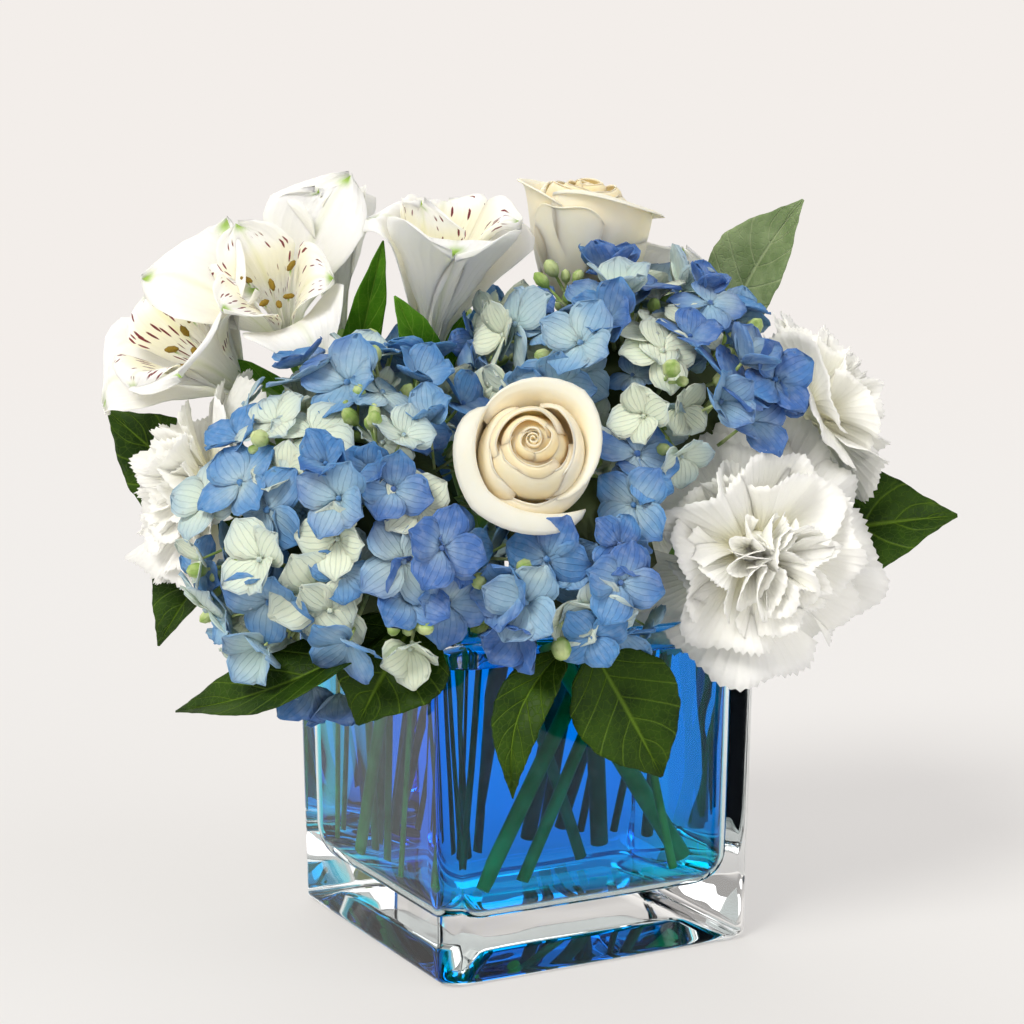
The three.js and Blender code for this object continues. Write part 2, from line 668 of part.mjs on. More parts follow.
// Each piece: its colour, its name, and what makes it and the room that it takes.
const stems = [
  ...HYDRANGEAS.map((h) => ["stem", `${h.name}_stem`, () => bloomStem(h, h.along * h.core - 7, STEM.hydrangea)]),
  ...ROSES.map((r) => ["stem", `${r.name}_stem`, () => bloomStem(r, ROSE.depth / 2 - 2, STEM.rose, CUP.rose)]),
  ...CARNATIONS.map((c) => [
    "stem",
    `${c.name}_stem`,
    () => bloomStem(c, CARNATION.root - 1, STEM.carnation, CUP.carnation),
  ]),
  ...LILY_SPRAYS.map((s) => ["stem", s.name, () => sprayStem(s)]),
  ...LEAFY_STEMS.map((s) => ["leaf", s.name, () => leafyStem(s)]),
];

function bloomAt({ at, toward, size }, made) {
  const solid = moved(made, at, toward, size);
  return { solid, clear: outlineOf(solid) };
}

const blooms = [
  ...ROSES.map((r) => ["creamPetal", r.name, () => bloomAt(r, rose())]),
  ...CARNATIONS.map((c, k) => ["whitePetal", c.name, () => bloomAt(c, carnation(3 * k + 1))]),
  ...LILY_SPRAYS.flatMap((s) => s.flowers).map((f) => ["lilyPetal", f.name, () => bloomAt(f, lily())]),
  ...HYDRANGEAS.map((h) => ["bluePetal", h.name, (room) => hydrangea(h, room)]),
];

// Makes the pieces in turn. Each gives way to the room that is taken, and then takes its own.
function settle(list, room) {
  const settled = list.map(([colour, name, make]) => {
    const { solid, clear } = make(room);
    const left = largestBody(solid.subtract(room));
    room = room.add(clear);
    return mesh(name, colour, left);
  });
  return [settled, room];
}

function mesh(name, colour, solid) {
  const { vertProperties, triVerts } = solid.getMesh();
  const geometry = new THREE.BufferGeometry();
  geometry.setAttribute("position", new THREE.BufferAttribute(vertProperties, 3));
  geometry.setIndex(new THREE.BufferAttribute(triVerts, 1));
  geometry.computeVertexNormals();
  const result = new THREE.Mesh(geometry, new THREE.MeshStandardMaterial(COLOURS[colour]));
  result.name = name;
  return result;
}

const [stemMeshes, stemRoom] = settle(stems, joined([]));
const [bloomMeshes] = settle(blooms, stemRoom.add(vaseRoom()));
const arrangement = new THREE.Group();
arrangement.add(mesh("vase", "glass", vase()), mesh("water", "water", water(stemRoom)));
arrangement.add(...stemMeshes, ...bloomMeshes);

export default arrangement;
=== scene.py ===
import json
import math

import bpy
from mathutils import Matrix, Quaternion, Vector

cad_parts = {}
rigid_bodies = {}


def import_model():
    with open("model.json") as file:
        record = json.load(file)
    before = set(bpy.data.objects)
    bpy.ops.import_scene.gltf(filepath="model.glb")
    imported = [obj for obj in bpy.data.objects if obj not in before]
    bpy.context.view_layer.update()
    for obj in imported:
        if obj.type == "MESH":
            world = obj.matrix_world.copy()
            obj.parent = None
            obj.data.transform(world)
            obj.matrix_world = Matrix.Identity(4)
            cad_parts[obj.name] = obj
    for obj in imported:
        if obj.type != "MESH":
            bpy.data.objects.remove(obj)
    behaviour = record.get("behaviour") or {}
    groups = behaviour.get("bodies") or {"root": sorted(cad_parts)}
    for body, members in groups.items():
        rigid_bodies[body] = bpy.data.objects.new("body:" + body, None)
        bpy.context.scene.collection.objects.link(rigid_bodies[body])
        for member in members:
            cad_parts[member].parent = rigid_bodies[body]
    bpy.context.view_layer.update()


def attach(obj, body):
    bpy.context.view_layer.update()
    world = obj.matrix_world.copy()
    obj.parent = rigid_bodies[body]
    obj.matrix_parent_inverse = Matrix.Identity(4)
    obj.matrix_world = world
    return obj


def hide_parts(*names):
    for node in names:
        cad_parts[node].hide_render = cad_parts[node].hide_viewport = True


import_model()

MM = 0.001
TURN = 2 * math.pi
GOLDEN = math.pi * (3 - math.sqrt(5))
UP = Vector((0, 0, 1))


# ---------------------------------------------------------------- small helpers


def scatter(n):
    """The same number from 0 to 1 for the same n."""
    return math.modf(abs(math.sin(n * 12.9898 + 4.1414) * 43758.5453))[0]


def spread(n, least, most):
    return least + (most - least) * scatter(n)


def mix(a, b, share):
    return a + (b - a) * share


def smooth(low, high, x):
    """0 below low, 1 above high, and an even slope between them."""
    x = min(max((x - low) / (high - low), 0), 1)
    return x * x * (3 - 2 * x)


def along_table(table, x):
    """A value from a table of (place, value) pairs, on a smooth line through them."""
    for (x0, y0), (x1, y1) in zip(table, table[1:]):
        if x <= x1:
            return mix(y0, y1, smooth(x0, x1, x) * 0.5 + 0.5 * (x - x0) / (x1 - x0))
    return table[-1][1]


def mm(*numbers):
    return Vector(numbers) * MM


def turn_to(direction):
    """The turn that takes +Z to a direction."""
    return UP.rotation_difference(Vector(direction))


def smooth_path(points, steps):
    """A smooth curve through points, with a number of steps between each two."""
    ends = [2 * points[0] - points[1], *points, 2 * points[-1] - points[-2]]
    path = []
    for before, start, end, after in zip(ends, ends[1:], ends[2:], ends[3:]):
        for k in range(steps):
            t = k / steps
            a = 2 * start
            b = (end - before) * t
            c = (2 * before - 5 * start + 4 * end - after) * t**2
            d = (3 * start - before - 3 * end + after) * t**3
            path.append((a + b + c + d) / 2)
    return [*path, points[-1]]


# ---------------------------------------------------------------- shapes as point lists


# How much thinner a petal or leaf is at its edge than in its middle.
EDGE_THINNING = 0.6


class Shape:
    """Closed sheets and bodies of one piece. Each point carries three marks, which the materials read: how
    far across and along its petal or leaf it lies, and a tint. Each face carries its material's number."""

    def __init__(self):
        self.points, self.marks, self.faces, self.finishes = [], [], [], []

    def _faces(self, faces, finish):
        self.faces += faces
        self.finishes += [finish] * len(faces)

    def sheet(self, place, columns, rows, thick, tint=0.0, upper=0, under=None):
        """A petal or leaf: place gives the point at u across (-1 to 1) and v along (0 to 1). It is as thick
        as said, in millimetres, in its middle, and thinner towards its edges."""
        us = [2 * j / columns - 1 for j in range(columns + 1)]
        vs = [i / rows for i in range(rows + 1)]
        grid = [[place(u, v) for u in us] for v in vs]
        first, wide = len(self.points), columns + 1
        for side in (0.5, -0.5):
            for i, v in enumerate(vs):
                for j, u in enumerate(us):
                    across = grid[i][min(j + 1, columns)] - grid[i][max(j - 1, 0)]
                    along = grid[min(i + 1, rows)][j] - grid[max(i - 1, 0)][j]
                    normal = across.cross(along).normalized()
                    depth = thick * MM * (1 - EDGE_THINNING * max(abs(u), v) ** 6)
                    self.points.append(grid[i][j] + normal * depth * side)
                    self.marks.append((u, v, tint))

        def at(i, j):
            return first + i * wide + j

        shift = wide * (rows + 1)
        fronts = [
            (at(i, j), at(i, j + 1), at(i + 1, j + 1), at(i + 1, j))
            for i in range(rows)
            for j in range(columns)
        ]
        backs = [tuple(p + shift for p in reversed(front)) for front in fronts]
        edge = [(at(0, j + 1), at(0, j)) for j in range(columns)]
        edge += [(at(rows, j), at(rows, j + 1)) for j in range(columns)]
        edge += [(at(i, 0), at(i + 1, 0)) for i in range(rows)]
        edge += [(at(i + 1, columns), at(i, columns)) for i in range(rows)]
        self._faces(fronts, upper)
        self._faces(backs, upper if under is None else under)
        self._faces([(a, b, b + shift, a + shift) for a, b in edge], upper)

    def rings(self, rings, tint=0.0, finish=0):
        """A closed body through rings of equally many points, each counter-clockwise seen from ahead."""
        first, count = len(self.points), len(rings[0])
        for v, ring in enumerate(rings):
            for k, point in enumerate(ring):
                self.points.append(point)
                self.marks.append((2 * k / count - 1, v / (len(rings) - 1), tint))
        for end in (0, -1):
            self.points.append(sum(rings[end], Vector()) / count)
            self.marks.append((0, -end, tint))
        low, high = len(self.points) - 2, len(self.points) - 1
        faces = []
        for k in range(count):
            n = (k + 1) % count
            last = first + (len(rings) - 1) * count
            faces += [(low, first + n, first + k), (high, last + k, last + n)]
            for r in range(len(rings) - 1):
                a, b = first + r * count, first + (r + 1) * count
                faces.append((a + k, a + n, b + n, b + k))
        self._faces(faces, finish)

    def tube(self, path, radii, sides=6, tint=0.0, finish=0):
        """A round body along a path, with a radius in millimetres at each of its points."""
        turns = [TURN * k / sides for k in range(sides)]
        side, rings = None, []
        for i, point in enumerate(path):
            along = (path[min(i + 1, len(path) - 1)] - path[max(i - 1, 0)]).normalized()
            side = side or along.orthogonal()
            side = (side - along * along.dot(side)).normalized()
            other = along.cross(side)
            out = radii[i] * MM
            rings.append([point + out * (side * math.cos(a) + other * math.sin(a)) for a in turns])
        self.rings(rings, tint, finish)

    def lathe(self, profile, turn, middle, sides=12, tint=0.0, finish=0):
        """A round body about an axis: profile has (distance from it, place along it) pairs in millimetres."""
        turns = [TURN * k / sides for k in range(sides)]
        rings = []
        for r, z in profile:
            ring = [Vector((r * MM * math.cos(a), r * MM * math.sin(a), z * MM)) for a in turns]
            rings.append([middle + turn @ p for p in ring])
        self.rings(rings, tint, finish)

    def mesh(self, name, finishes):
        """The piece's mesh, with its materials in the order of the faces' numbers."""
        made = bpy.data.meshes.new(name)
        made.from_pydata([tuple(p) for p in self.points], [], self.faces)
        for material in finishes:
            made.materials.append(material)
        made.polygons.foreach_set("material_index", self.finishes)
        made.polygons.foreach_set("use_smooth", [True] * len(self.faces))
        marks = made.attributes.new("marks", "FLOAT_VECTOR", "POINT")
        marks.data.foreach_set("vector", [x for mark in self.marks for x in mark])
        made.validate()
        made.update()
        return made


def show(name, mesh):
    piece = bpy.data.objects.new(name, mesh)
    bpy.context.scene.collection.objects.link(piece)
    return piece


def piece_of(name, shape, finishes):
    return show(name, shape.mesh(name, finishes))


def stand_for(piece, nodes):
    """The piece rides on the one body and takes the place of its CAD nodes."""
    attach(piece, "root")
    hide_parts(*nodes)


# ---------------------------------------------------------------- node trees


def fill(tree, node, inputs):
    """Fills a node's inputs with values or with other nodes' outputs."""
    for key, value in inputs.items():
        if isinstance(value, bpy.types.NodeSocket):
            tree.links.new(value, node.inputs[key])
        else:
            node.inputs[key].default_value = value


def add(tree, kind, inputs=None, output=0, **settings):
    """Adds a node with its settings and its inputs filled, and gives one of its outputs, if it has any."""
    node = tree.nodes.new(kind)
    for key, value in settings.items():
        setattr(node, key, value)
    fill(tree, node, inputs or {})
    return node.outputs[output] if node.outputs else node


def colour(hexadecimal):
    """An sRGB hex colour as a linear one."""
    parts = [int(hexadecimal[i : i + 2], 16) / 255 for i in (1, 3, 5)]
    return (*[p / 12.92 if p <= 0.04045 else ((p + 0.055) / 1.055) ** 2.4 for p in parts], 1.0)


def total(tree, *terms):
    """The sum of outputs, each times its weight."""
    value = 0.0
    for term, weight in terms:
        value = add(tree, "ShaderNodeMath", {0: term, 1: weight, 2: value}, operation="MULTIPLY_ADD")
    return value


def mask(tree, *ranges):
    """The product of soft steps, each 0 below low and 1 above high, or the other way round where low is the
    larger."""
    share = 1.0
    for value, low, high in ranges:
        step = add(
            tree, "ShaderNodeMapRange", {0: value, 1: low, 2: high}, interpolation_type="SMOOTHSTEP"
        )
        share = add(tree, "ShaderNodeMath", {0: step, 1: share}, operation="MULTIPLY")
    return share


def patches(tree, place, size, low, high, detail=2.0):
    """A mask of soft patches about a size in millimetres across."""
    cloud = add(
        tree, "ShaderNodeTexNoise", {"Vector": place, "Scale": 1 / (size * MM), "Detail": detail}
    )
    return mask(tree, (cloud, low, high))


def layered(tree, base, *layers):
    """Lays colours over a base one after another, each as far as its mask and its strength let it show."""
    for share, strength, over in layers:
        factor = add(tree, "ShaderNodeMath", {0: share, 1: strength}, operation="MULTIPLY")
        base = add(tree, "ShaderNodeMix", {0: factor, 6: base, 7: over}, output=2, data_type="RGBA")
    return base


def relief(tree, place, depth, size, *lines, detail=2.0, weight=1.0):
    """The fine relief of a surface: grain about a size across, with lines of their own weights in it. Depth
    and size are in millimetres."""
    grain = add(
        tree, "ShaderNodeTexNoise", {"Vector": place, "Scale": 1 / (size * MM), "Detail": detail}
    )
    height = total(tree, (grain, weight), *lines)
    return add(tree, "ShaderNodeBump", {"Strength": 1.0, "Distance": depth * MM, "Height": height})


def petal_place(tree):
    """How far across and along its petal or leaf a point is, the tint there, and where the point is."""
    marks = add(tree, "ShaderNodeAttribute", output="Vector", attribute_name="marks")
    across, along, tint = add(tree, "ShaderNodeSeparateXYZ", {0: marks}).node.outputs
    return across, along, tint, add(tree, "ShaderNodeTexCoord", output="Object")


def veins(tree, across, lines, width):
    """Fine lines that run from the base of a petal to its edge: 1 on a line, 0 between."""
    spaced = add(tree, "ShaderNodeMath", {0: across, 1: lines}, operation="MULTIPLY")
    fan = add(tree, "ShaderNodeMath", {0: spaced, 1: 0.5}, operation="PINGPONG")
    return mask(tree, (fan, width, 0.0))


def new_material(name):
    """A material with one Principled shader: the material, its tree and its shader."""
    material = bpy.data.materials.new(name)
    material.use_nodes = True
    tree = material.node_tree
    tree.nodes.clear()
    surface = add(tree, "ShaderNodeBsdfPrincipled")
    add(tree, "ShaderNodeOutputMaterial", {"Surface": surface})
    return material, tree, surface.node


def set_skin(tree, shader, base, normal, roughness, ior, glow, tones, depth):
    """A plant's skin: its colour and relief, its gloss, and how much light glows through it, in which tones
    and how many millimetres deep."""
    fill(tree, shader, {
        "Base Color": base,
        "Roughness": roughness,
        "IOR": ior,
        "Subsurface Weight": glow,
        "Subsurface Radius": tones,
        "Subsurface Scale": depth * MM,
        "Normal": normal,
    })


# ---------------------------------------------------------------- materials


def hydrangea_sepal():
    # Hydrangea sepals: thin, matt and velvety, veined, greenish white at the eye and blue towards the edge. A
    # tint of -1 is the green of a pedicel or a bud, and -2 the core of stalks inside the head, in a dark
    # green that is painted shade.
    material, tree, shader = new_material("hydrangea sepal")
    across, along, tint, place = petal_place(tree)
    pale = layered(
        tree,
        colour("#bad0cc"),
        (patches(tree, place, 30, 0.42, 0.58), 1.0, colour("#94b8cc")),
        (mask(tree, (tint, 0.3, 0.0)), 1.0, colour("#d8e2cb")),
    )
    deep = layered(tree, colour("#4d84bd"), (patches(tree, place, 40, 0.44, 0.56), 1.0, colour("#3f69ab")))
    sides = add(tree, "ShaderNodeMath", {0: across}, operation="ABSOLUTE")
    cloud = add(tree, "ShaderNodeTexNoise", {"Vector": place, "Scale": 1 / (11 * MM)})
    blueness = total(tree, (along, 0.75), (tint, 1.35), (sides, 0.18), (cloud, 0.6))
    lines = veins(tree, across, 3.5, 0.14)
    # Pedicel and bud green, and at a tint of -2 a dark green that is painted shade for the inside of the
    # head.
    green = layered(
        tree,
        colour("#8aa854"),
        (patches(tree, place, 6, 0.35, 0.65), 1.0, colour("#c6d498")),
        (mask(tree, (tint, -1.3, -1.7)), 1.0, colour("#3d4b22")),
    )
    base = layered(
        tree,
        pale,
        (mask(tree, (blueness, 0.75, 2.0)), 1.0, deep),
        (lines, 0.14, colour("#3f6295")),
        (patches(tree, place, 2.5, 0.4, 0.75, detail=3.0), 0.12, colour("#e4eef2")),
        (mask(tree, (tint, -0.3, -0.6)), 1.0, green),
    )
    normal = relief(tree, place, 0.12, 1.6, (lines, 1.0), detail=3.0, weight=0.8)
    set_skin(tree, shader, base, normal, 0.62, ior=1.4, glow=0.2, tones=(0.6, 0.9, 1.2), depth=1.0)
    return material


def rose_petal():
    # Cream rose petals: thick, satin, ivory at the edge and warm apricot down in the bloom.
    material, tree, shader = new_material("cream rose petal")
    _, along, tint, place = petal_place(tree)
    edge = layered(tree, colour("#f4ecd2"), (tint, 1.0, colour("#fdedc4")))
    root = layered(tree, colour("#fdf1d6"), (tint, 1.0, colour("#fad08a")))
    base = layered(
        tree,
        edge,
        (mask(tree, (along, 0.95, 0.3)), 1.0, root),
        (patches(tree, place, 9, 0.4, 0.7, detail=3.0), 0.25, colour("#fbf5e6")),
    )
    normal = relief(tree, place, 0.08, 3.0)
    set_skin(tree, shader, base, normal, 0.5, ior=1.42, glow=0.6, tones=(1.2, 1.0, 0.7), depth=2.0)
    return material


def carnation_petal():
    # White carnation petals: crisp and thin as tissue, with a little cream left deep in the bloom.
    material, tree, shader = new_material("white carnation petal")
    across, along, _, place = petal_place(tree)
    base = layered(
        tree,
        colour("#fffff8"),
        (mask(tree, (along, 0.75, 0.2)), 1.0, colour("#fbf6cc")),
        (patches(tree, place, 12, 0.35, 0.7), 0.3, colour("#f8f7ec")),
    )
    normal = relief(tree, place, 0.15, 2.0, (veins(tree, across, 8.0, 0.3), 1.0))
    set_skin(tree, shader, base, normal, 0.6, ior=1.4, glow=0.6, tones=(1.0, 1.0, 0.9), depth=2.0)
    return material


def lily_petal(streaked):
    # Peruvian lily tepals: white and satin, green at the tip and faintly along the midrib. The inner ones
    # have a yellow blotch with short maroon streaks.
    material, tree, shader = new_material("streaked lily tepal" if streaked else "plain lily tepal")
    across, along, tint, place = petal_place(tree)
    sides = add(tree, "ShaderNodeMath", {0: across}, operation="ABSOLUTE")
    base = layered(
        tree,
        colour("#fefef6"),
        (mask(tree, (sides, 0.16, 0.0)), 0.3, colour("#c3d389")),
        (mask(tree, (sides, 0.55, 0.1), (along, 0.88, 0.97)), 1.0, colour("#86b13a")),
        (mask(tree, (along, 0.42, 0.05)), 0.6, colour("#cbd6a2")),
    )
    if streaked:
        # Streaks some 4 mm long and under 1 mm wide, a few millimetres apart.
        stretch = {0: total(tree, (across, 9.0)), 1: total(tree, (along, 6.0)), 2: tint}
        cells = add(
            tree,
            "ShaderNodeTexVoronoi",
            {"Vector": add(tree, "ShaderNodeCombineXYZ", stretch), "Scale": 1.0, "Randomness": 0.8},
            output="Distance",
        )
        streaks = mask(tree, (cells, 0.30, 0.22), (along, 0.34, 0.40), (along, 0.90, 0.84))
        base = layered(
            tree,
            base,
            (mask(tree, (along, 0.36, 0.52), (along, 0.84, 0.64)), 0.4, colour("#f3e49a")),
            (streaks, 1.0, colour("#6b1420")),
        )
    normal = relief(tree, place, 0.08, 3.0, (veins(tree, across, 6.0, 0.3), 1.0))
    set_skin(tree, shader, base, normal, 0.45, ior=1.4, glow=0.65, tones=(1.0, 1.0, 0.8), depth=2.5)
    return material


def anther():
    # Lily anthers, powdered with olive-brown pollen: dull and soft.
    material, tree, shader = new_material("olive pollen")
    place = add(tree, "ShaderNodeTexCoord", output="Object")
    grains = add(tree, "ShaderNodeTexNoise", {"Vector": place, "Scale": 1 / (0.6 * MM)})
    base = layered(tree, colour("#6d5312"), (grains, 1.0, colour("#9c8224")))
    fill(tree, shader, {"Base Color": base, "Roughness": 0.9, "Normal": relief(tree, place, 0.1, 0.3)})
    return material


def leaf_face(name, blade, vein, roughness, depth):
    """A leaf's side: a midrib and side veins that slant towards the tip, with a fine net between them."""
    material, tree, shader = new_material(name)
    across, along, _, place = petal_place(tree)
    sides = add(tree, "ShaderNodeMath", {0: across}, operation="ABSOLUTE")
    rib = mask(tree, (sides, 0.07, 0.01))
    slanted = total(tree, (along, 7.0), (sides, -1.6))
    slanted = add(tree, "ShaderNodeMath", {0: slanted, 1: 0.5}, operation="PINGPONG")
    side_veins = total(tree, (mask(tree, (slanted, 0.075, 0.0)), 0.7))
    net = add(
        tree,
        "ShaderNodeTexVoronoi",
        {"Vector": place, "Scale": 1 / (2.2 * MM)},
        output="Distance",
        feature="DISTANCE_TO_EDGE",
    )
    fine = mask(tree, (net, 0.08, 0.0))
    lines = add(tree, "ShaderNodeMath", {0: rib, 1: side_veins}, operation="MAXIMUM")
    base = layered(
        tree,
        colour(blade[0]),
        (patches(tree, place, 14, 0.35, 0.65, detail=3.0), 1.0, colour(blade[1])),
        (fine, 0.12, colour(vein)),
        (lines, 0.5, colour(vein)),
    )
    normal = relief(tree, place, depth, 5, (fine, -0.25), (lines, -1.0), weight=0.8)
    set_skin(tree, shader, base, normal, roughness, ior=1.4, glow=0.08, tones=(0.3, 0.6, 0.1), depth=1.0)
    fill(tree, shader, {"Specular IOR Level": 0.2})
    return material


def green_stem():
    # Cut green stems: smooth and a little waxy, in soft patches of two greens.
    material, tree, shader = new_material("green stem")
    place = add(tree, "ShaderNodeTexCoord", output="Object")
    base = layered(tree, colour("#6c9a3c"), (patches(tree, place, 12, 0.35, 0.65), 1.0, colour("#93bb62")))
    normal = relief(tree, place, 0.1, 2.0)
    set_skin(tree, shader, base, normal, 0.45, ior=1.45, glow=0.1, tones=(0.4, 0.8, 0.2), depth=1.0)
    return material


def pressed_glass():
    # Pressed soda-lime glass: clear, polished, and slightly wavy from the mould, about 26 mm a wave. It
    # hardly mirrors face on, so that the blue behind it stays deep, and mirrors the pale room at a slant.
    material, tree, shader = new_material("pressed soda-lime glass")
    place = add(tree, "ShaderNodeTexCoord", output="Object")
    fill(tree, shader, {
        "Base Color": colour("#fbfdfd"),
        "Roughness": 0.0,
        "IOR": 1.51,
        "Specular Tint": colour("#2c4a66"),
        "Transmission Weight": 1.0,
        "Normal": relief(tree, place, 0.35, 26, detail=0.0),
    })
    return material


def blue_water():
    # Water with a blue dye: it swallows red within a few centimetres, then green, and keeps blue.
    material, tree, shader = new_material("blue dyed water")
    fill(tree, shader, {
        "Base Color": colour("#ffffff"),
        "Roughness": 0.0,
        "IOR": 1.333,
        "Transmission Weight": 1.0,
    })
    dye = add(tree, "ShaderNodeVolumeAbsorption", {"Color": colour("#00f7ff"), "Density": 200.0})
    output = next(node for node in tree.nodes if node.type == "OUTPUT_MATERIAL")
    fill(tree, output, {"Volume": dye})
    return material


BACKDROP = "#f3eeea"


def studio_paper():
    # Seamless paper, lit from below as well, so that shadows on it stay pale; far off it is the backdrop.
    material, tree, shader = new_material("seamless paper")
    place = add(tree, "ShaderNodeTexCoord", output="Object")
    away = add(tree, "ShaderNodeVectorMath", {0: place}, output="Value", operation="LENGTH")
    far = mask(tree, (away, 0.5, 2.5))
    fill(tree, shader, {
        "Base Color": layered(tree, colour("#9e9fa0"), (far, 1.0, colour("#000000"))),
        "Roughness": 1.0,
        "Specular IOR Level": 0.0,
        "Emission Color": colour(BACKDROP),
        "Emission Strength": add(tree, "ShaderNodeMapRange", {0: far, 1: 0.0, 2: 1.0, 3: 0.53, 4: 1.0}),
    })
    return material


SEPAL = hydrangea_sepal()
ROSE_PETAL = rose_petal()
CARNATION_PETAL = carnation_petal()
TEPAL = lily_petal(False)
STREAKED_TEPAL = lily_petal(True)
ANTHER = anther()
LEAF_TOP = leaf_face("upper side of a leathery leaf", ("#1b3303", "#2c4707"), "#6f8f28", 0.5, 0.35)
# A leaf's upper side in a pale grey-green: the sheen of light on a glossy leaf, painted into its colour.
LEAF_PAINTED_SHEEN = leaf_face("upper side of a leaf, pale as painted sheen", ("#697e52", "#8d9f74"), "#b4c296", 0.5, 0.35)
LEAF_UNDER = leaf_face("under side of a leathery leaf", ("#7d9060", "#8c9d6c"), "#b4c292", 0.65, 0.25)
GRASS_LEAF = leaf_face("narrow lily leaf", ("#39690c", "#4d8116"), "#86ad40", 0.45, 0.1)
STEM = green_stem()
GLASS = pressed_glass()
WATER = blue_water()
PAPER = studio_paper()

# ---------------------------------------------------------------- camera, light and floor

# The camera of the photograph: which way it lies from the vase, its right and its up, how far it stands along
# these three, in metres, and its focal length in millimetres for a frame 36 mm wide.
CAMERA_BACK = Vector((-0.46279, -0.87406, 0.14781))
CAMERA_RIGHT = Vector((0.88377, -0.46793, 0.0))
CAMERA_UP = Vector((0.06916, 0.13063, 0.98902))
CAMERA_PLACE = CAMERA_BACK * 0.839 + CAMERA_RIGHT * -0.0028 + CAMERA_UP * 0.1354
FOCAL_LENGTH = 87.9

# The paper floor, in metres: it lies a hair under the vase's foot.
FLOOR_RADIUS = 60.0
FLOOR_Z = -0.0002


def set_camera():
    camera = bpy.data.objects.new("camera", bpy.data.cameras.new("camera"))
    bpy.context.scene.collection.objects.link(camera)
    turn = Matrix((CAMERA_RIGHT, CAMERA_UP, CAMERA_BACK)).transposed().to_4x4()
    camera.matrix_world = Matrix.Translation(CAMERA_PLACE) @ turn
    camera.data.sensor_fit = "HORIZONTAL"
    camera.data.sensor_width = 36
    camera.data.lens = FOCAL_LENGTH
    camera.data.clip_start = 0.01
    bpy.context.scene.camera = camera


def soft_sun(name, towards, spread_degrees, strength, hexadecimal):
    """A large, far lamp: towards is the way to it."""
    lamp = bpy.data.lights.new(name, "SUN")
    lamp.angle = math.radians(spread_degrees)
    lamp.energy = strength
    lamp.color = colour(hexadecimal)[:3]
    light = bpy.data.objects.new(name, lamp)
    bpy.context.scene.collection.objects.link(light)
    light.matrix_world = Vector(towards).to_track_quat("Z", "Y").to_matrix().to_4x4()


def studio():
    """A paper floor that runs out to a pale backdrop all round, darker overhead, and three soft lamps."""
    turns = [TURN * k / 64 for k in range(64)]
    points = [(FLOOR_RADIUS * math.cos(a), FLOOR_RADIUS * math.sin(a), FLOOR_Z) for a in turns]
    mesh = bpy.data.meshes.new("paper_floor")
    mesh.from_pydata(points, [], [tuple(range(len(points)))])
    mesh.materials.append(PAPER)
    show("paper_floor", mesh)
    world = bpy.data.worlds.new("studio")
    world.use_nodes = True
    tree = world.node_tree
    direction = add(tree, "ShaderNodeTexCoord", output="Generated")
    height = add(tree, "ShaderNodeSeparateXYZ", {0: direction}, output=2)
    darker = {0: height, 1: 0.12, 2: 0.5, 3: 1.0, 4: 0.42}
    brightness = add(tree, "ShaderNodeMapRange", darker, interpolation_type="SMOOTHSTEP")
    fill(tree, tree.nodes["Background"], {"Color": colour(BACKDROP), "Strength": brightness})
    bpy.context.scene.world = world
    soft_sun("key", (-0.82, -0.38, 0.85), 24, 2.35, "#fffcf4")
    soft_sun("fill", (0.5, -1.0, 0.7), 60, 0.7, "#fbfcff")
    soft_sun("back", (0.2, 1.0, 0.9), 40, 0.7, "#ffffff")
    bpy.context.scene.view_settings.view_transform = "Standard"


# ---------------------------------------------------------------- vase and water

# Half widths, heights and corner radii, in millimetres.
VASE = {"half": 57, "foot": 55.5, "top": 107, "corner": 6, "fillet": 2.5}
BOWL = {"half": 51, "floor_half": 50, "floor": 18, "corner": 10, "floor_corner": 3, "round": 12}

# Where the straight part of the wall starts, and how far under the top it ends.
WALL_START, RIM_DEPTH = 8, 5

# The underside, dished behind its foot as pressed glass is, so that its slopes mirror the blue bowl to the
# front: how far inwards from the foot's edge, and how high.
DISH = [(26, 6.5), (22, 6.3), (18, 5.6), (8, 1.2), (6, 0.3), (5, 0.0), (3.5, 0.0)]

# The water's height at the wall, how far it laps into the wall, and how it falls away from there: how far
# inwards and how deep.
WATER_EDGE = 99.0
WATER_LAP = 0.15
WATER_FALL = [(0, 0), (0.4, 0.3), (1.0, 0.55), (1.8, 0.68), (3.0, 0.75)]


def square_ring(half, radius, z, steps=8):
    """A square with round corners, at a height."""
    ring = []
    for corner in range(4):
        middle = (corner + 0.5) * TURN / 4
        x = math.copysign(half - radius, math.cos(middle))
        y = math.copysign(half - radius, math.sin(middle))
        for step in range(steps + 1):
            turn = (corner + step / steps) * TURN / 4
            ring.append(mm(x + radius * math.cos(turn), y + radius * math.sin(turn), z))
    return ring


def bowl_rings(outwards):
    """The bowl's floor edge and wall, from the floor up, moved outwards by a distance."""
    rings = []
    for k in range(9):
        turn = k / 8 * TURN / 4
        inwards = BOWL["round"] * (1 - math.sin(turn)) - outwards
        z = BOWL["floor"] + BOWL["round"] * (1 - math.cos(turn)) - outwards
        corner = mix(BOWL["floor_corner"], BOWL["corner"], k / 8)
        rings.append(square_ring(BOWL["floor_half"] - inwards, corner, z))
    return rings


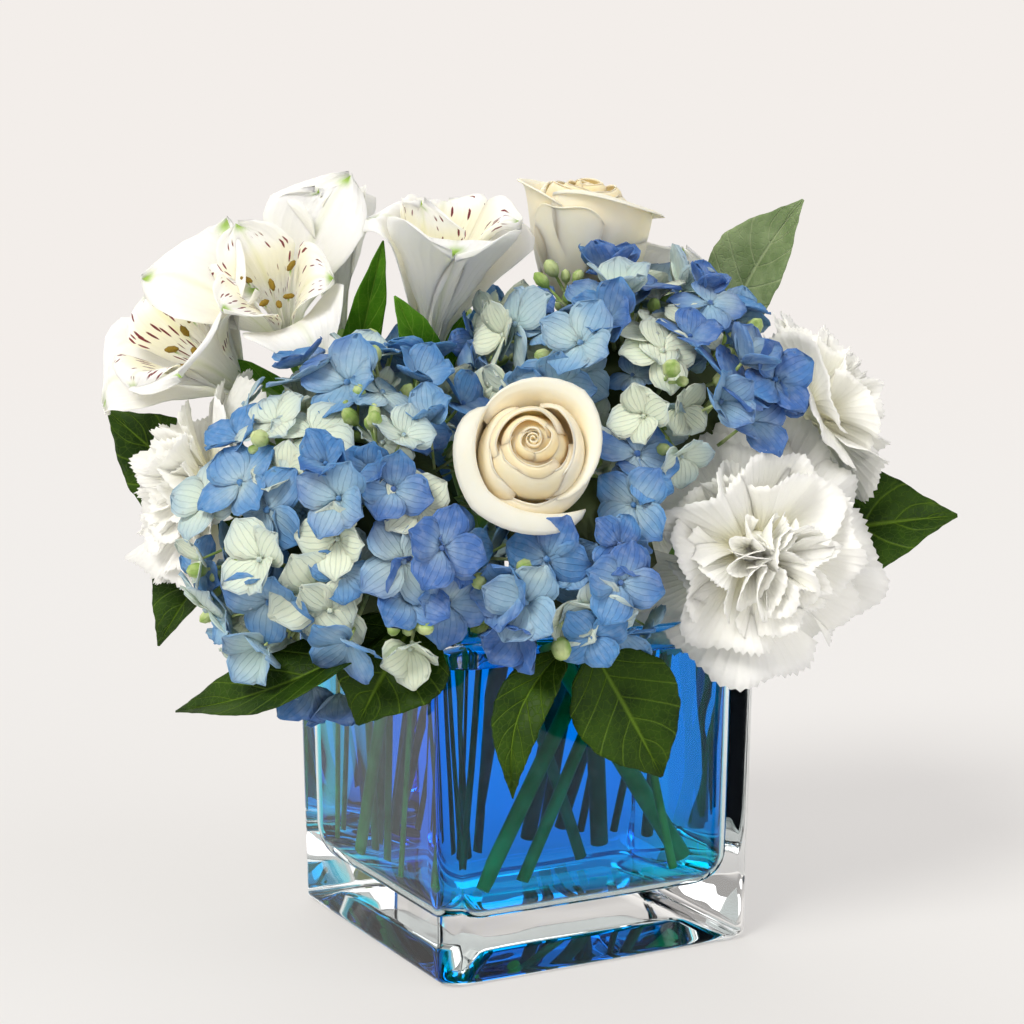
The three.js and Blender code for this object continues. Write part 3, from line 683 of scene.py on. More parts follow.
def vase():
    """From under its foot, up its slightly flaring wall, round its rim and down into its bowl."""
    half, foot, top, corner, fillet = VASE.values()
    # The corners of the dish grow sharper inwards.
    rings = [square_ring(foot - inwards, mix(corner, 3, inwards / 30), z) for inwards, z in DISH]
    for k in range(7):
        turn = k / 6 * TURN / 4
        inwards = fillet * (1 - math.sin(turn))
        rings.append(square_ring(foot - inwards, corner, fillet * (1 - math.cos(turn))))
    for flare, z in ((0.05, WALL_START), (0.97, top - RIM_DEPTH)):
        rings.append(square_ring(mix(foot, half, flare), corner, z))
    middle, radius = (half + BOWL["half"]) / 2, (half - BOWL["half"]) / 2
    for k in range(13):
        turn = k / 12 * TURN / 2
        out, z = middle + radius * math.cos(turn), top - radius + radius * math.sin(turn)
        rings.append(square_ring(out, mix(corner, BOWL["corner"], k / 12), z))
    rings.append(square_ring(BOWL["half"], BOWL["corner"], top - RIM_DEPTH))
    rings += reversed(bowl_rings(0))
    shape = Shape()
    shape.rings(rings)
    return shape.mesh("vase", [GLASS])


def water():
    """The water laps into the wall, so that no air shows between it and the glass, and climbs it a little."""
    rings = bowl_rings(WATER_LAP)
    edge = mix(BOWL["floor_half"], BOWL["half"], 0.9) + WATER_LAP
    for inwards, drop in WATER_FALL:
        rings.append(square_ring(edge - inwards, BOWL["corner"] - inwards, WATER_EDGE - drop))
    shape = Shape()
    shape.rings(rings)
    return shape.mesh("water", [WATER])


def applied(piece):
    """Turns a piece's modifiers into its mesh."""
    graph = bpy.context.evaluated_depsgraph_get()
    made = bpy.data.meshes.new_from_object(piece.evaluated_get(graph))
    piece.modifiers.clear()
    piece.data = made


def even_normals(piece):
    """Large flat faces keep their own direction, so that the glass doesn't look swollen."""
    piece.modifiers.new("even normals", "WEIGHTED_NORMAL").weight = 100
    applied(piece)


# ---------------------------------------------------------------- where the flowers are

# at is the middle of the bloom, toward the way it faces. neck and foot are where its stem leaves the water
# and where it is cut, and via are points that the stem passes on the way up. Millimetres, as in the part.
HYDRANGEAS = {
    "front": {
        "at": (-10, -58, 134), "toward": (-0.3, -0.93, 0.2), "across": 40, "along": 28, "florets": 80,
        "tint": 0.55, "lowest": 108, "neck": (-12, -39), "foot": (40, -28), "via": [(-11, -42, 115)],
    },
    "left": {
        "at": (-67, -17, 140), "toward": (-0.62, -0.62, 0.48), "across": 55, "along": 44, "florets": 142,
        "tint": 0.36, "neck": (-40, -8), "foot": (-44, 16), "via": [(-45, -9, 113)],
    },
    "right": {
        "at": (32, -24, 177), "toward": (0.22, -0.3, 0.93), "across": 57, "along": 37, "florets": 146,
        "tint": 0.42, "neck": (14, -6), "foot": (24, 10), "via": [(22, -12, 130)],
    },
    "back": {
        "at": (3, 52, 150), "toward": (-0.1, 0.84, 0.53), "across": 48, "along": 36, "florets": 90,
        "tint": 0.4, "neck": (-4, 28), "foot": (-20, 24), "via": [(-5, 33, 118)],
    },
}
ROSES = {
    "front": {
        "at": (-32, -67, 165), "toward": (-0.4, -0.8, 0.45), "spin": -0.47,
        "neck": (12, -21), "foot": (-36, -34), "via": [(7, -20, 126), (-6, -28, 146)],
    },
    "back": {
        "at": (29, 11, 226), "toward": (0.02, -0.2, 0.97), "spin": 1.2, "closed": 0.5, "size": 1.14,
        "neck": (16, 18), "foot": (6, 34), "via": [(22, 24, 145), (28, 21, 175)],
    },
}
CARNATIONS = {
    "front": {
        "at": (43, -79, 131), "toward": (-0.25, -0.93, 0.14), "size": 1.12,
        "neck": (20, -24), "foot": (-20, -30), "via": [(32, -34, 113)],
    },
    "right": {
        "at": (90, -46, 175), "toward": (0.82, -0.2, 0.5), "size": 0.95,
        "neck": (40, -14), "foot": (44, 14), "via": [(50, -24, 130)],
    },
    "left": {
        "at": (-104, 34, 150), "toward": (-0.92, 0.12, 0.25), "size": 1.0,
        "neck": (-40, 14), "foot": (-28, 18), "via": [(-47, 19, 115)],
    },
    "back": {
        "at": (72, 36, 138), "toward": (0.88, 0.45, 0.12), "size": 0.95,
        "neck": (41, 26), "foot": (22, 44), "via": [(50, 29, 113)],
    },
}
# Each lily has its place, the way that it faces, its size and how far it is open.
LILY_SPRAYS = {
    "left": {
        "neck": (-20, 12), "foot": (-36, 2), "via": [(-31, 25, 132)], "split": (-46, 45, 158),
        "flowers": {
            "facing": ((-74, 32, 215), (-0.42, -0.62, 0.66), 1.1, 1.35),
            "upright": ((-46, 52, 232), (-0.05, 0.15, 0.98), 1.12, 0.5),
            "outer": ((-99, 56, 198), (-0.75, -0.3, 0.58), 1.25, 1.2),
        },
        "leaves": [((-46, 6, 226), (-0.3, -0.9, 0.2), 13), ((-84, 62, 186), (-0.3, 0.5, 0.8), 12)],
    },
    "middle": {
        "neck": (-16, -8), "foot": (10, -8), "via": [(-19, 0, 138)], "split": (-25, 11, 172),
        "flowers": {"middle": ((-24, 4, 229), (0.0, -0.35, 0.93), 1.3, 0.9)},
        "leaves": [((-46, -2, 209), (-0.2, -0.9, 0.3), 14), ((-6, 26, 222), (0.3, 0.8, 0.3), 12)],
    },
    "back": {
        "neck": (26, 32), "foot": (16, 44), "via": [(33, 33, 130)], "split": (40, 33, 155),
        "flowers": {"behind": ((66, 33, 211), (0.35, 0.2, 0.9), 1.05, 0.9)},
        "leaves": [((70, 46, 186), (0.2, 0.3, 0.9), 13), ((26, 62, 192), (-0.2, 0.3, 0.9), 13)],
    },
}
# A leaf's tip, the way that its upper side looks, its width, its arch, and how it bulges round a bloom.
LEAFY_STEMS = {
    "left_front": {
        "neck": (-42, -25), "foot": (-45, -16), "via": [(-49, -37, 113)], "top": (-57, -43, 116),
        "leaves": [
            ((-122, -4, 84), (0.1, -0.55, 0.85), 26, 5, (-8, -15, -6)),
            ((-80, -46, 84), (-0.35, -0.8, 0.5), 37, 5),
        ],
    },
    "front": {
        "neck": (12, -44), "foot": (30, -44), "via": [(4, -48, 110)], "top": (-12, -62, 109),
        "leaves": [
            ((-40, -70, 62), (-0.55, -0.8, 0.2), 16, 3, (-9, 0, 2)),
            ((11, -72, 63), (-0.3, -0.95, 0.1), 34, 4),
        ],
    },
    "right": {
        "neck": (44, 4), "foot": (36, 26), "via": [(50, -2, 113)], "top": (68, -28, 122),
        "leaves": [((121, -74, 137), (-0.25, -0.75, 0.6), 44, 4), ((118, 6, 128), (0.2, -0.2, 0.95), 40, 8)],
    },
    "top_right": {
        # This sprig's leaves take painted sheen: a paler green for the light that they catch.
        "neck": (34, 14), "foot": (26, 34), "via": [(57, 20, 150)], "top": (84, 10, 186), "painted_sheen": True,
        "leaves": [((91, -27, 238), (-0.75, -0.5, 0.4), 31, 6), ((112, 36, 202), (-0.3, -0.1, 0.95), 36, 7)],
    },
    "left": {
        "neck": (-40, 34), "foot": (-44, 34), "via": [(-48, 41, 113)], "top": (-66, 68, 122),
        "leaves": [
            ((-106, 101, 166), (-0.5, -0.75, 0.4), 34, 5),
            ((-112, 38, 96), (-0.4, -0.3, 0.85), 32, 6),
            ((-76, 106, 92), (-0.2, 0.5, 0.85), 36, 7),
        ],
    },
    "back": {
        "neck": (-20, 42), "foot": (-28, 44), "via": [(-24, 48, 110.5)], "top": (-28, 64, 112),
        "leaves": [((-44, 94, 74), (-0.3, 0.8, 0.5), 36, 5), ((10, 96, 84), (0.2, 0.7, 0.7), 36, 6)],
    },
}

# The heights where the stems are cut and where they leave the water.
FOOT_Z, NECK_Z = 25, 100


def stem_path(stem, *above):
    """From the cut end, straight to the vase's neck and in a smooth curve through the points above it."""
    bend = mm(*stem["neck"], NECK_Z)
    start = mm(*stem["foot"], FOOT_Z)
    rise = smooth_path([bend, *[mm(*p) for p in stem["via"]], *above], 8)
    return [start.lerp(bend, k / 10) for k in range(10)] + rise


# ---------------------------------------------------------------- geometry nodes


def group_sockets(tree, sockets):
    """Gives a tree its named inputs, each with its kind and value, and its output."""
    for name, kind, value in sockets:
        made = tree.interface.new_socket(name, in_out="INPUT", socket_type=kind)
        if value is not None:
            made.default_value = value
    tree.interface.new_socket("Geometry", in_out="OUTPUT", socket_type="NodeSocketGeometry")


def finished(tree, geometry, finish):
    """Makes instances real, gives them their finish, and ends the tree."""
    real = add(tree, "GeometryNodeRealizeInstances", {"Geometry": geometry})
    done = add(tree, "GeometryNodeSetMaterial", {"Geometry": real, "Material": finish})
    add(tree, "NodeGroupOutput", {"Geometry": done})


def stalk_tree():
    """Grows a round stalk along each chain of points, as thick as each point says."""
    tree = bpy.data.node_groups.new("stalk", "GeometryNodeTree")
    group_sockets(tree, [
        ("Geometry", "NodeSocketGeometry", None),
        ("Sides", "NodeSocketInt", 12),
        ("Thickness", "NodeSocketFloat", 1.0),
        ("Finish", "NodeSocketMaterial", None),
    ])
    given = add(tree, "NodeGroupInput").node.outputs
    curve = add(tree, "GeometryNodeMeshToCurve", {"Mesh": given["Geometry"]})
    thick = add(tree, "GeometryNodeInputNamedAttribute", {"Name": "thick"}, data_type="FLOAT")
    radius = add(tree, "ShaderNodeMath", {0: thick, 1: given["Thickness"]}, operation="MULTIPLY")
    curve = add(tree, "GeometryNodeSetCurveRadius", {"Curve": curve, "Radius": radius})
    circle = add(tree, "GeometryNodeCurvePrimitiveCircle", {"Resolution": given["Sides"], "Radius": 1.0})
    sweep = {"Curve": curve, "Profile Curve": circle, "Fill Caps": True, "Scale": radius}
    swept = add(tree, "GeometryNodeCurveToMesh", sweep)
    solid = add(tree, "GeometryNodeMergeByDistance", {"Geometry": swept, "Distance": 1e-6})
    soft = add(tree, "GeometryNodeSetShadeSmooth", {"Geometry": solid})
    finished(tree, soft, given["Finish"])
    return tree


# What each seat of a mophead says: that it is one, the way it faces, its tint and its floret's size.
SEAT_MARKS = {"seat": "FLOAT", "facing": "FLOAT_VECTOR", "tint": "FLOAT", "room": "FLOAT"}


def mophead_tree():
    """Sets a floret on each seat of a mophead, facing outwards, with its own turn, size and tint."""
    tree = bpy.data.node_groups.new("mophead", "GeometryNodeTree")
    group_sockets(tree, [
        ("Geometry", "NodeSocketGeometry", None),
        ("Florets", "NodeSocketCollection", None),
        ("Kinds", "NodeSocketInt", 1),
        ("Smallest", "NodeSocketFloat", 0.84),
        ("Largest", "NodeSocketFloat", 1.12),
        ("Seed", "NodeSocketInt", 7),
        ("Finish", "NodeSocketMaterial", None),
    ])
    given = add(tree, "NodeGroupInput").node.outputs
    seat, facing, tint, room, marks = [
        add(tree, "GeometryNodeInputNamedAttribute", {"Name": name}, data_type=kind)
        for name, kind in [*SEAT_MARKS.items(), ("marks", "FLOAT_VECTOR")]
    ]
    parts = {"Geometry": given["Geometry"], "Selection": seat}
    # What isn't a seat is the core of stalks, coloured dark as painted shade.
    seats, painted_shade_core = add(tree, "GeometryNodeSeparateGeometry", parts).node.outputs
    kinds = {"Collection": given["Florets"], "Separate Children": True, "Reset Children": True}
    florets = add(tree, "GeometryNodeCollectionInfo", kinds)
    last = add(tree, "ShaderNodeMath", {0: given["Kinds"], 1: 1.0}, operation="SUBTRACT")
    choice = {4: 0, 5: last, "Seed": given["Seed"]}
    pick = add(tree, "FunctionNodeRandomValue", choice, output=2, data_type="INT")
    turns = {2: 0.0, 3: TURN, "Seed": given["Seed"]}
    turn = add(tree, "FunctionNodeRandomValue", turns, output=1, data_type="FLOAT")
    sizes = {2: given["Smallest"], 3: given["Largest"], "Seed": 3}
    size = add(tree, "FunctionNodeRandomValue", sizes, output=1, data_type="FLOAT")
    outwards = add(tree, "FunctionNodeAlignRotationToVector", {"Vector": facing}, axis="Z")
    spin = add(tree, "FunctionNodeAxisAngleToRotation", {"Axis": (0, 0, 1), "Angle": turn})
    spun = {"Rotation": outwards, "Rotate By": spin}
    placed = add(tree, "GeometryNodeInstanceOnPoints", {
        "Points": seats,
        "Instance": florets,
        "Pick Instance": True,
        "Instance Index": pick,
        "Rotation": add(tree, "FunctionNodeRotateRotation", spun, rotation_space="LOCAL"),
        "Scale": add(tree, "ShaderNodeMath", {0: size, 1: room}, operation="MULTIPLY"),
    })
    both = add(tree, "GeometryNodeJoinGeometry")
    tree.links.new(placed, both.node.inputs[0])
    tree.links.new(painted_shade_core, both.node.inputs[0])
    real = add(tree, "GeometryNodeRealizeInstances", {"Geometry": both})
    # What isn't green takes its seat's tint.
    across, along, own = add(tree, "ShaderNodeSeparateXYZ", {0: marks}).node.outputs
    green = add(tree, "ShaderNodeMath", {0: own, 1: -0.5}, operation="LESS_THAN")
    tints = add(tree, "ShaderNodeMix", {0: green, 2: tint, 3: own}, data_type="FLOAT")
    tinted = {0: across, 1: along, 2: tints}
    stored = {"Geometry": real, "Name": "marks", "Value": add(tree, "ShaderNodeCombineXYZ", tinted)}
    kept = {"data_type": "FLOAT_VECTOR", "domain": "POINT"}
    marked = add(tree, "GeometryNodeStoreNamedAttribute", stored, **kept)
    finished(tree, marked, given["Finish"])
    return tree


def grow(piece, tree, **values):
    """Runs a tree on a piece with its inputs set by name, and keeps the mesh that it makes."""
    modifier = piece.modifiers.new(tree.name, "NODES")
    modifier.node_group = tree
    for item in tree.interface.items_tree:
        if item.in_out == "INPUT" and item.name in values:
            modifier[item.identifier] = values[item.name]
    applied(piece)


STALK = stalk_tree()
MOPHEAD = mophead_tree()


def stalk_piece(name, paths):
    """One mesh of stalks: each is a path and its radius, in millimetres, at shares of its length."""
    points, thick, edges = [], [], []
    for path, radii in paths:
        for i, point in enumerate(path):
            if i:
                edges.append((len(points) - 1, len(points)))
            points.append(point)
            thick.append(along_table(radii, i / (len(path) - 1)) * MM)
    mesh = bpy.data.meshes.new(name)
    mesh.from_pydata([tuple(p) for p in points], edges, [])
    mesh.attributes.new("thick", "FLOAT", "POINT").data.foreach_set("value", thick)
    piece = show(name, mesh)
    grow(piece, STALK, Sides=12, Thickness=1.0, Finish=STEM)
    return piece


# ---------------------------------------------------------------- hydrangeas

# Half widths of a sepal along its length, as shares of its widest.
SEPAL_OUTLINE = [
    (0, 0.1), (0.1, 0.42), (0.25, 0.8), (0.45, 1.0), (0.66, 1.0), (0.84, 0.8), (0.95, 0.5), (1, 0.22),
]

# The kinds of florets: how far their sepals are raised, in radians, and by how much that differs.
FLORET_FORMS = [(0.08, 0.15), (0.3, 0.2), (0.5, 0.25), (-0.05, 0.25), (0.75, 0.25), (0.9, 0.15), (0.35, 0.4)]
BUD_FORMS = 2

# The florets' layers, outer and inner: a layer's share of the head's florets, its level as a share of the
# head's size, how uneven that is, and how far its florets lean.
FLORET_LAYERS = [(1.0, 0.96, 0.06, 0.62), (0.62, 0.73, 0.05, 0.8)]

# How low on the dome the seats go: 1 is its top and -1 its bottom.
LOWEST_SEAT = -0.62

# The size of the core of stalks inside a head, coloured dark as painted shade, as a share of the head's.
PAINTED_SHADE_CORE_SIZE = 0.55

# The least distances in millimetres from one floret's seat to the next, because nearer ones would stand
# through one another, and to the other blooms' room, the vase's sides and its rim.
SEAT_GAP, ROOM_GAP, SIDE_GAP, RIM_GAP = 7, 3, 4, 5

# The room that other blooms need: balls along their axes, each with its place from the bloom's middle and its
# radius.
ROSE_ROOM = [(-12, 23), (0, 28), (12, 31), (26, 32)]
CARNATION_ROOM = [(0, 36), (20, 40)]
LILY_ROOM = [(-2, 24), (-14, 16), (-26, 9)]


def floret(n, raised, uneven):
    """A flower of a mophead, facing +Z: four broad sepals that lap like a pinwheel, an eye and a pedicel."""
    shape = Shape()
    for k in range(4):
        seed = 10 * n + k
        turn = Matrix.Rotation(TURN * k / 4 + spread(seed, -0.14, 0.14), 3, "Z")
        lift = Matrix.Rotation(-(raised + spread(seed + 3, -uneven, uneven)), 3, "Y")
        length, half = spread(seed + 1, 12.6, 15.4), spread(seed + 2, 6.2, 7.9)
        lap, curl = spread(seed + 4, 0.0, 0.35), spread(seed + 5, -2.4, 1.2)

        def place(u, v):
            side = u * half * along_table(SEPAL_OUTLINE, v)
            out = length * v * (1 - 0.06 * u * u)
            rise = curl * v * v + lap * side + 1.3 * u * u * v + 0.3 * math.sin(5 * u + 7 * v + seed)
            return turn @ (lift @ mm(out, side, rise) + mm(0.6, 0, 0))

        shape.sheet(place, 4, 5, 0.45)
    eye = [(0.2, -0.6), (1.2, 0.4), (0.7, 1.5)]
    shape.lathe(eye, Quaternion(), Vector(), 6)
    lean = spread(n + 77, -3, 3)
    path = [mm(0, 0, 0.2), mm(lean * 0.3, 0, -7), mm(lean, 0, -20)]
    shape.tube(path, [0.55, 0.6, 0.8], 4, tint=-1.0)
    return shape


def buds(n):
    """Unopened florets: a few green beads on one forked pedicel."""
    shape = Shape()
    for k in range(2 + n):
        side = Vector((math.cos(2.2 * k + n), math.sin(2.2 * k + n), 0)) * (0 if k == 0 else 4.2 * MM)
        size, top = spread(7 * n + k, 0.75, 1.25), side + mm(0, 0, spread(n + k, -3, 1))
        bead = [(0.3, -1.4), (1.9, 0.4), (2.5, 2.6), (1.8, 4.8), (0.3, 6.0)]
        axis = turn_to(side / MM * 0.12 + UP)
        shape.lathe([(r * size, z * size) for r, z in bead], axis, top, 8, tint=-1.0)
        shape.tube([top, mm(0, 0, -9), mm(0, 0, -20)], [0.55, 0.7, 0.8], 5, tint=-1.0)
    return shape


def floret_kinds():
    """A collection with each kind of floret and of bud once, for the heads to pick from."""
    kinds = bpy.data.collections.new("floret kinds")
    made = [floret(n, *form) for n, form in enumerate(FLORET_FORMS)] + [buds(n) for n in range(BUD_FORMS)]
    for n, shape in enumerate(made):
        kinds.objects.link(bpy.data.objects.new(f"kind_{n}", shape.mesh(f"kind_{n}", [])))
    return kinds


def balls_along(at, toward, room):
    """Balls of room along the axis of one bloom: middle and radius."""
    axis = Vector(toward).normalized()
    return [(Vector(at) + axis * s, radius) for s, radius in room]


def keep_clear():
    """Balls of room that the florets leave to the other blooms and to the leaves: middle and radius."""
    balls = [(Vector((-98, 8, 152)), 21)]  # the left carnation shows past the edge of the left head
    for rose in ROSES.values():
        balls += balls_along(rose["at"], rose["toward"], ROSE_ROOM)
    for carnation in CARNATIONS.values():
        balls += balls_along(carnation["at"], carnation["toward"], CARNATION_ROOM)
    for spray in LILY_SPRAYS.values():
        for at, toward, *_ in spray["flowers"].values():
            balls += balls_along(at, toward, LILY_ROOM)
    for sprig in LEAFY_STEMS.values():
        for tip, _, width, _, *bulge in sprig["leaves"]:
            for share in (0.3, 0.45, 0.6, 0.75, 0.9):
                detour = Vector(bulge[0] if bulge else (0, 0, 0)) * math.sin(share * TURN / 2)
                balls.append((Vector(sprig["top"]).lerp(Vector(tip), share) + detour, 0.3 * width))
    return balls


def dome_place(head, unit, level):
    """A point on a head's dome, at a level of its size, and the way that the dome faces there."""
    turn = turn_to(head["toward"])
    wide, deep = head["across"], head["along"]
    at = Vector(head["at"]) + turn @ Vector((unit.x * wide, unit.y * wide, unit.z * deep)) * level
    return at, turn @ Vector((unit.x / wide, unit.y / wide, unit.z / deep)).normalized()


def inside(head, point):
    """Whether a point is well inside a head."""
    local = turn_to(head["toward"]).inverted() @ (point - Vector(head["at"]))
    wide, deep = head["across"], head["along"]
    return (local.x / wide) ** 2 + (local.y / wide) ** 2 + (local.z / deep) ** 2 < 0.6


def is_free(at, head, balls, taken):
    """Whether a seat is clear of other blooms, of the vase, of the other heads and of the seats taken."""
    if any((at - middle).length < radius + ROOM_GAP for middle, radius in balls):
        return False
    if max(abs(at.x), abs(at.y)) < VASE["half"] + SIDE_GAP and at.z < VASE["top"] + RIM_GAP:
        return False
    if at.z < head.get("lowest", 0):
        return False
    if any(other is not head and inside(other, at) for other in HYDRANGEAS.values()):
        return False
    return all((at - other).length >= SEAT_GAP for other in taken)


def mophead_seats(head, balls, taken):
    """The florets' seats: an outer golden-angle spiral over the dome at uneven levels, and an inner, sparser
    one in its shade, less those in the way of others. Each has its place, the way it faces, its tint and its
    size. Those of all heads go on one list of places that are taken."""
    seats = []
    for layer, (share, mean, vary, lean) in enumerate(FLORET_LAYERS):
        count = round(head["florets"] * share)
        for n in range(count):
            key = n + 1000 * layer
            up = 1 - (n + 0.5) / count * (1 - LOWEST_SEAT)
            angle = n * GOLDEN + 0.35 * spread(key + 20, -1, 1) + layer
            flat = math.sqrt(1 - up * up)
            unit = Vector((flat * math.cos(angle), flat * math.sin(angle), up))
            at, outwards = dome_place(head, unit, mean + spread(key, -vary, vary))
            if not is_free(at, head, balls, taken):
                continue
            taken.append(at)
            tilt = Vector([spread(key + more, -1, 1) for more in (50, 90, 130)])
            tint = max(head["tint"] + spread(key + 300, -0.5, 0.5) - 0.1 * layer, 0)
            size = spread(key + 400, 0.7, 1.02) * (1 - 0.12 * layer)
            seats.append((at * MM, (outwards + lean * tilt * 0.6).normalized(), tint, size))
    return seats


def painted_shade_core(head):
    """The lumpy core of stalks inside a head, coloured dark green as painted shade between the florets."""
    rings = []
    for i in range(1, 16):
        polar = TURN / 2 * i / 16
        ring = []
        for k in range(24):
            angle = TURN * k / 24
            lump = 1 + 0.1 * math.sin(7 * angle + 3 * i) * math.sin(5 * polar)
            flat = math.sin(polar)
            unit = Vector((flat * math.cos(angle), flat * math.sin(angle), -math.cos(polar)))
            ring.append(dome_place(head, unit, PAINTED_SHADE_CORE_SIZE * lump)[0] * MM)
        rings.append(ring)
    shape = Shape()
    # A tint of -2 colours the core dark green: painted shade inside the head.
    shape.rings(rings, tint=-2.0)
    return shape


def mophead(name, head, kinds, balls, taken, seed):
    """A head: its core of stalks in painted shade, with a floret grown on each of its seats."""
    seats = mophead_seats(head, balls, taken)
    mesh = painted_shade_core(head).mesh(name, [SEPAL])
    bare = len(mesh.vertices)
    mesh.vertices.add(len(seats))
    for i, seat in enumerate(seats):
        mesh.vertices[bare + i].co = seat[0]
    told = {
        "seat": [0.0] * bare + [1.0] * len(seats),
        "facing": [0.0, 0.0, 1.0] * bare + [x for _, facing, _, _ in seats for x in facing],
        "tint": [0.0] * bare + [tint for _, _, tint, _ in seats],
        "room": [1.0] * bare + [size for _, _, _, size in seats],
    }
    for key, kind in SEAT_MARKS.items():
        field = "vector" if kind == "FLOAT_VECTOR" else "value"
        mesh.attributes.new(key, kind, "POINT").data.foreach_set(field, told[key])
    piece = show(name, mesh)
    count = len(FLORET_FORMS) + BUD_FORMS
    grow(piece, MOPHEAD, Florets=kinds, Kinds=count, Smallest=0.94, Largest=1.06, Seed=seed, Finish=SEPAL)
    return piece


# ---------------------------------------------------------------- roses

# The outer petals of a rose, from the inside out: the way that each faces and how far it reaches to each
# side, in radians; its rim's distance from the middle at one side, in its middle and at the other side; its
# rim's height at both sides; how far its belly stands out past its rim; and how far its rim is rolled out.
OUTER_PETALS = [
    (2.0, 1.6, (8.5, 9.8, 10.0), (13.0, 12.0), 3.5, 0.9),
    (4.7, 1.7, (9.5, 9.5, 11.0), (11.5, 9.5), 5.5, 0.8),
    (0.1, 1.3, (12.0, 12.5, 12.0), (8.5, 11.0), 4.0, 1.0),
    (3.1, 1.25, (12.0, 12.5, 13.0), (9.5, 7.5), 4.5, 0.7),
    (0.5, 2.1, (12.5, 20.0, 17.0), (1.5, 12.0), -3.5, 2.8),
    (4.9, 1.5, (16.0, 15.5, 15.0), (1.5, 2.5), 4.0, 0.8),
    (2.6, 0.7, (17.0, 18.5, 18.0), (6.0, 8.0), -1.0, 1.4),
    (3.95, 1.55, (18.0, 18.6, 22.0), (15.0, 1.0), 0.0, 7.0),
]


def bow(points, t):
    """A point on the curve that four numbers pull."""
    a, b, c, d = points
    return (1 - t) ** 3 * a + 3 * (1 - t) ** 2 * t * b + 3 * (1 - t) * t * t * c + t**3 * d


def rose(spin, closed=0.0):
    """A half-open rose, facing +Z: a tight curl, petals that close over one another round it as a dome, and
    outer ones that stand off, rolled back at their rims. A more closed one has steeper petals."""
    shape = Shape()
    petals = []
    for n in range(5):
        share = n / 4
        rim = mix(2.4, 7.4, share**1.1)
        top = 15.6 - 0.045 * rim * rim
        rims, heights = (rim - 1.3, rim, rim + 0.6), (top - 0.7, top + 0.4)
        petals.append((n * 2.4 + 0.8, mix(1.8, 1.5, share), rims, heights, 1.5 + 2.5 * share, 0.5))
    for n, (facing, half, rims, heights, belly, roll) in enumerate(petals + OUTER_PETALS):
        share = min(rims[1] / 20, 1)
        foot, low = mix(1.0, 8.5, share), mix(2, -20, min(2 * share, 1))
        wave = spread(n + 30, 0, TURN)
        roll *= 1 - 0.6 * closed

        def place(u, v):
            angle = spin + facing + u * half * math.sin(min(v * 1.8, 1) * TURN / 4) ** 0.7
            rim = rims[1] + (rims[2] - rims[0]) / 2 * u + ((rims[0] + rims[2]) / 2 - rims[1]) * u * u
            rim *= 1.03 - 0.10 * abs(math.sin(1.7 * u * half + wave)) * v  # creased, not round
            top = mix(*heights, (u + 1) / 2) + 9 * closed * share - mix(1.2, 5.0, share) * abs(u) ** 4
            wall = min(v / 0.75, 1)
            tip = max(v - 0.75, 0) / 0.25
            out = bow((foot, rim + 1.3 * belly, rim + 1.2 * belly, rim), wall)
            out += roll * tip * (1 - 0.92 * abs(u) ** (5 if roll > 5 else 2)) + 0.4 * u * wall
            rise = bow((low, mix(low, top, 0.4), top - 0.35 * abs(belly), top), wall)
            rise += (0.9 if roll > 2 else 0.3) * math.sin(tip * TURN / 4) - roll * 0.28 * tip * tip
            rise += (0.25 + 0.5 * share) * math.sin(4 * u + wave) * v * v
            return Vector((out * math.cos(angle), out * math.sin(angle), rise)) * MM

        shape.sheet(place, 24, 20, mix(0.3, 0.55, share), tint=1 - smooth(0.2, 0.95, share))

    def curl(u, v):
        bend = (u + 1) / 2
        out = mix(0.4, 2.8, bend) * mix(1.5, 1, v)
        angle = spin + bend * 2.4 * TURN
        return Vector((out * math.cos(angle), out * math.sin(angle), mix(4, 15.6 - 0.7 * bend, v))) * MM

    shape.sheet(curl, 64, 6, 0.25, tint=1.3)
    core = [(0.3, -20), (5.5, -19), (9, -12), (12, -2), (11.5, 4), (9.5, 8), (6.5, 11), (3, 12.5), (0.3, 13)]
    shape.lathe(core, Quaternion(), Vector(), 16, tint=1.0)
    return shape


def moved(shape, at, toward, size):
    """Puts a bloom in its place, turned from +Z to where it faces."""
    turn, middle = turn_to(toward), mm(*at)
    shape.points = [middle + turn @ p * size for p in shape.points]
    return shape


# ---------------------------------------------------------------- carnations

# How many petals a carnation has, and how many teeth the edge of each.
CARNATION_PETALS, CARNATION_TEETH = 25, 24


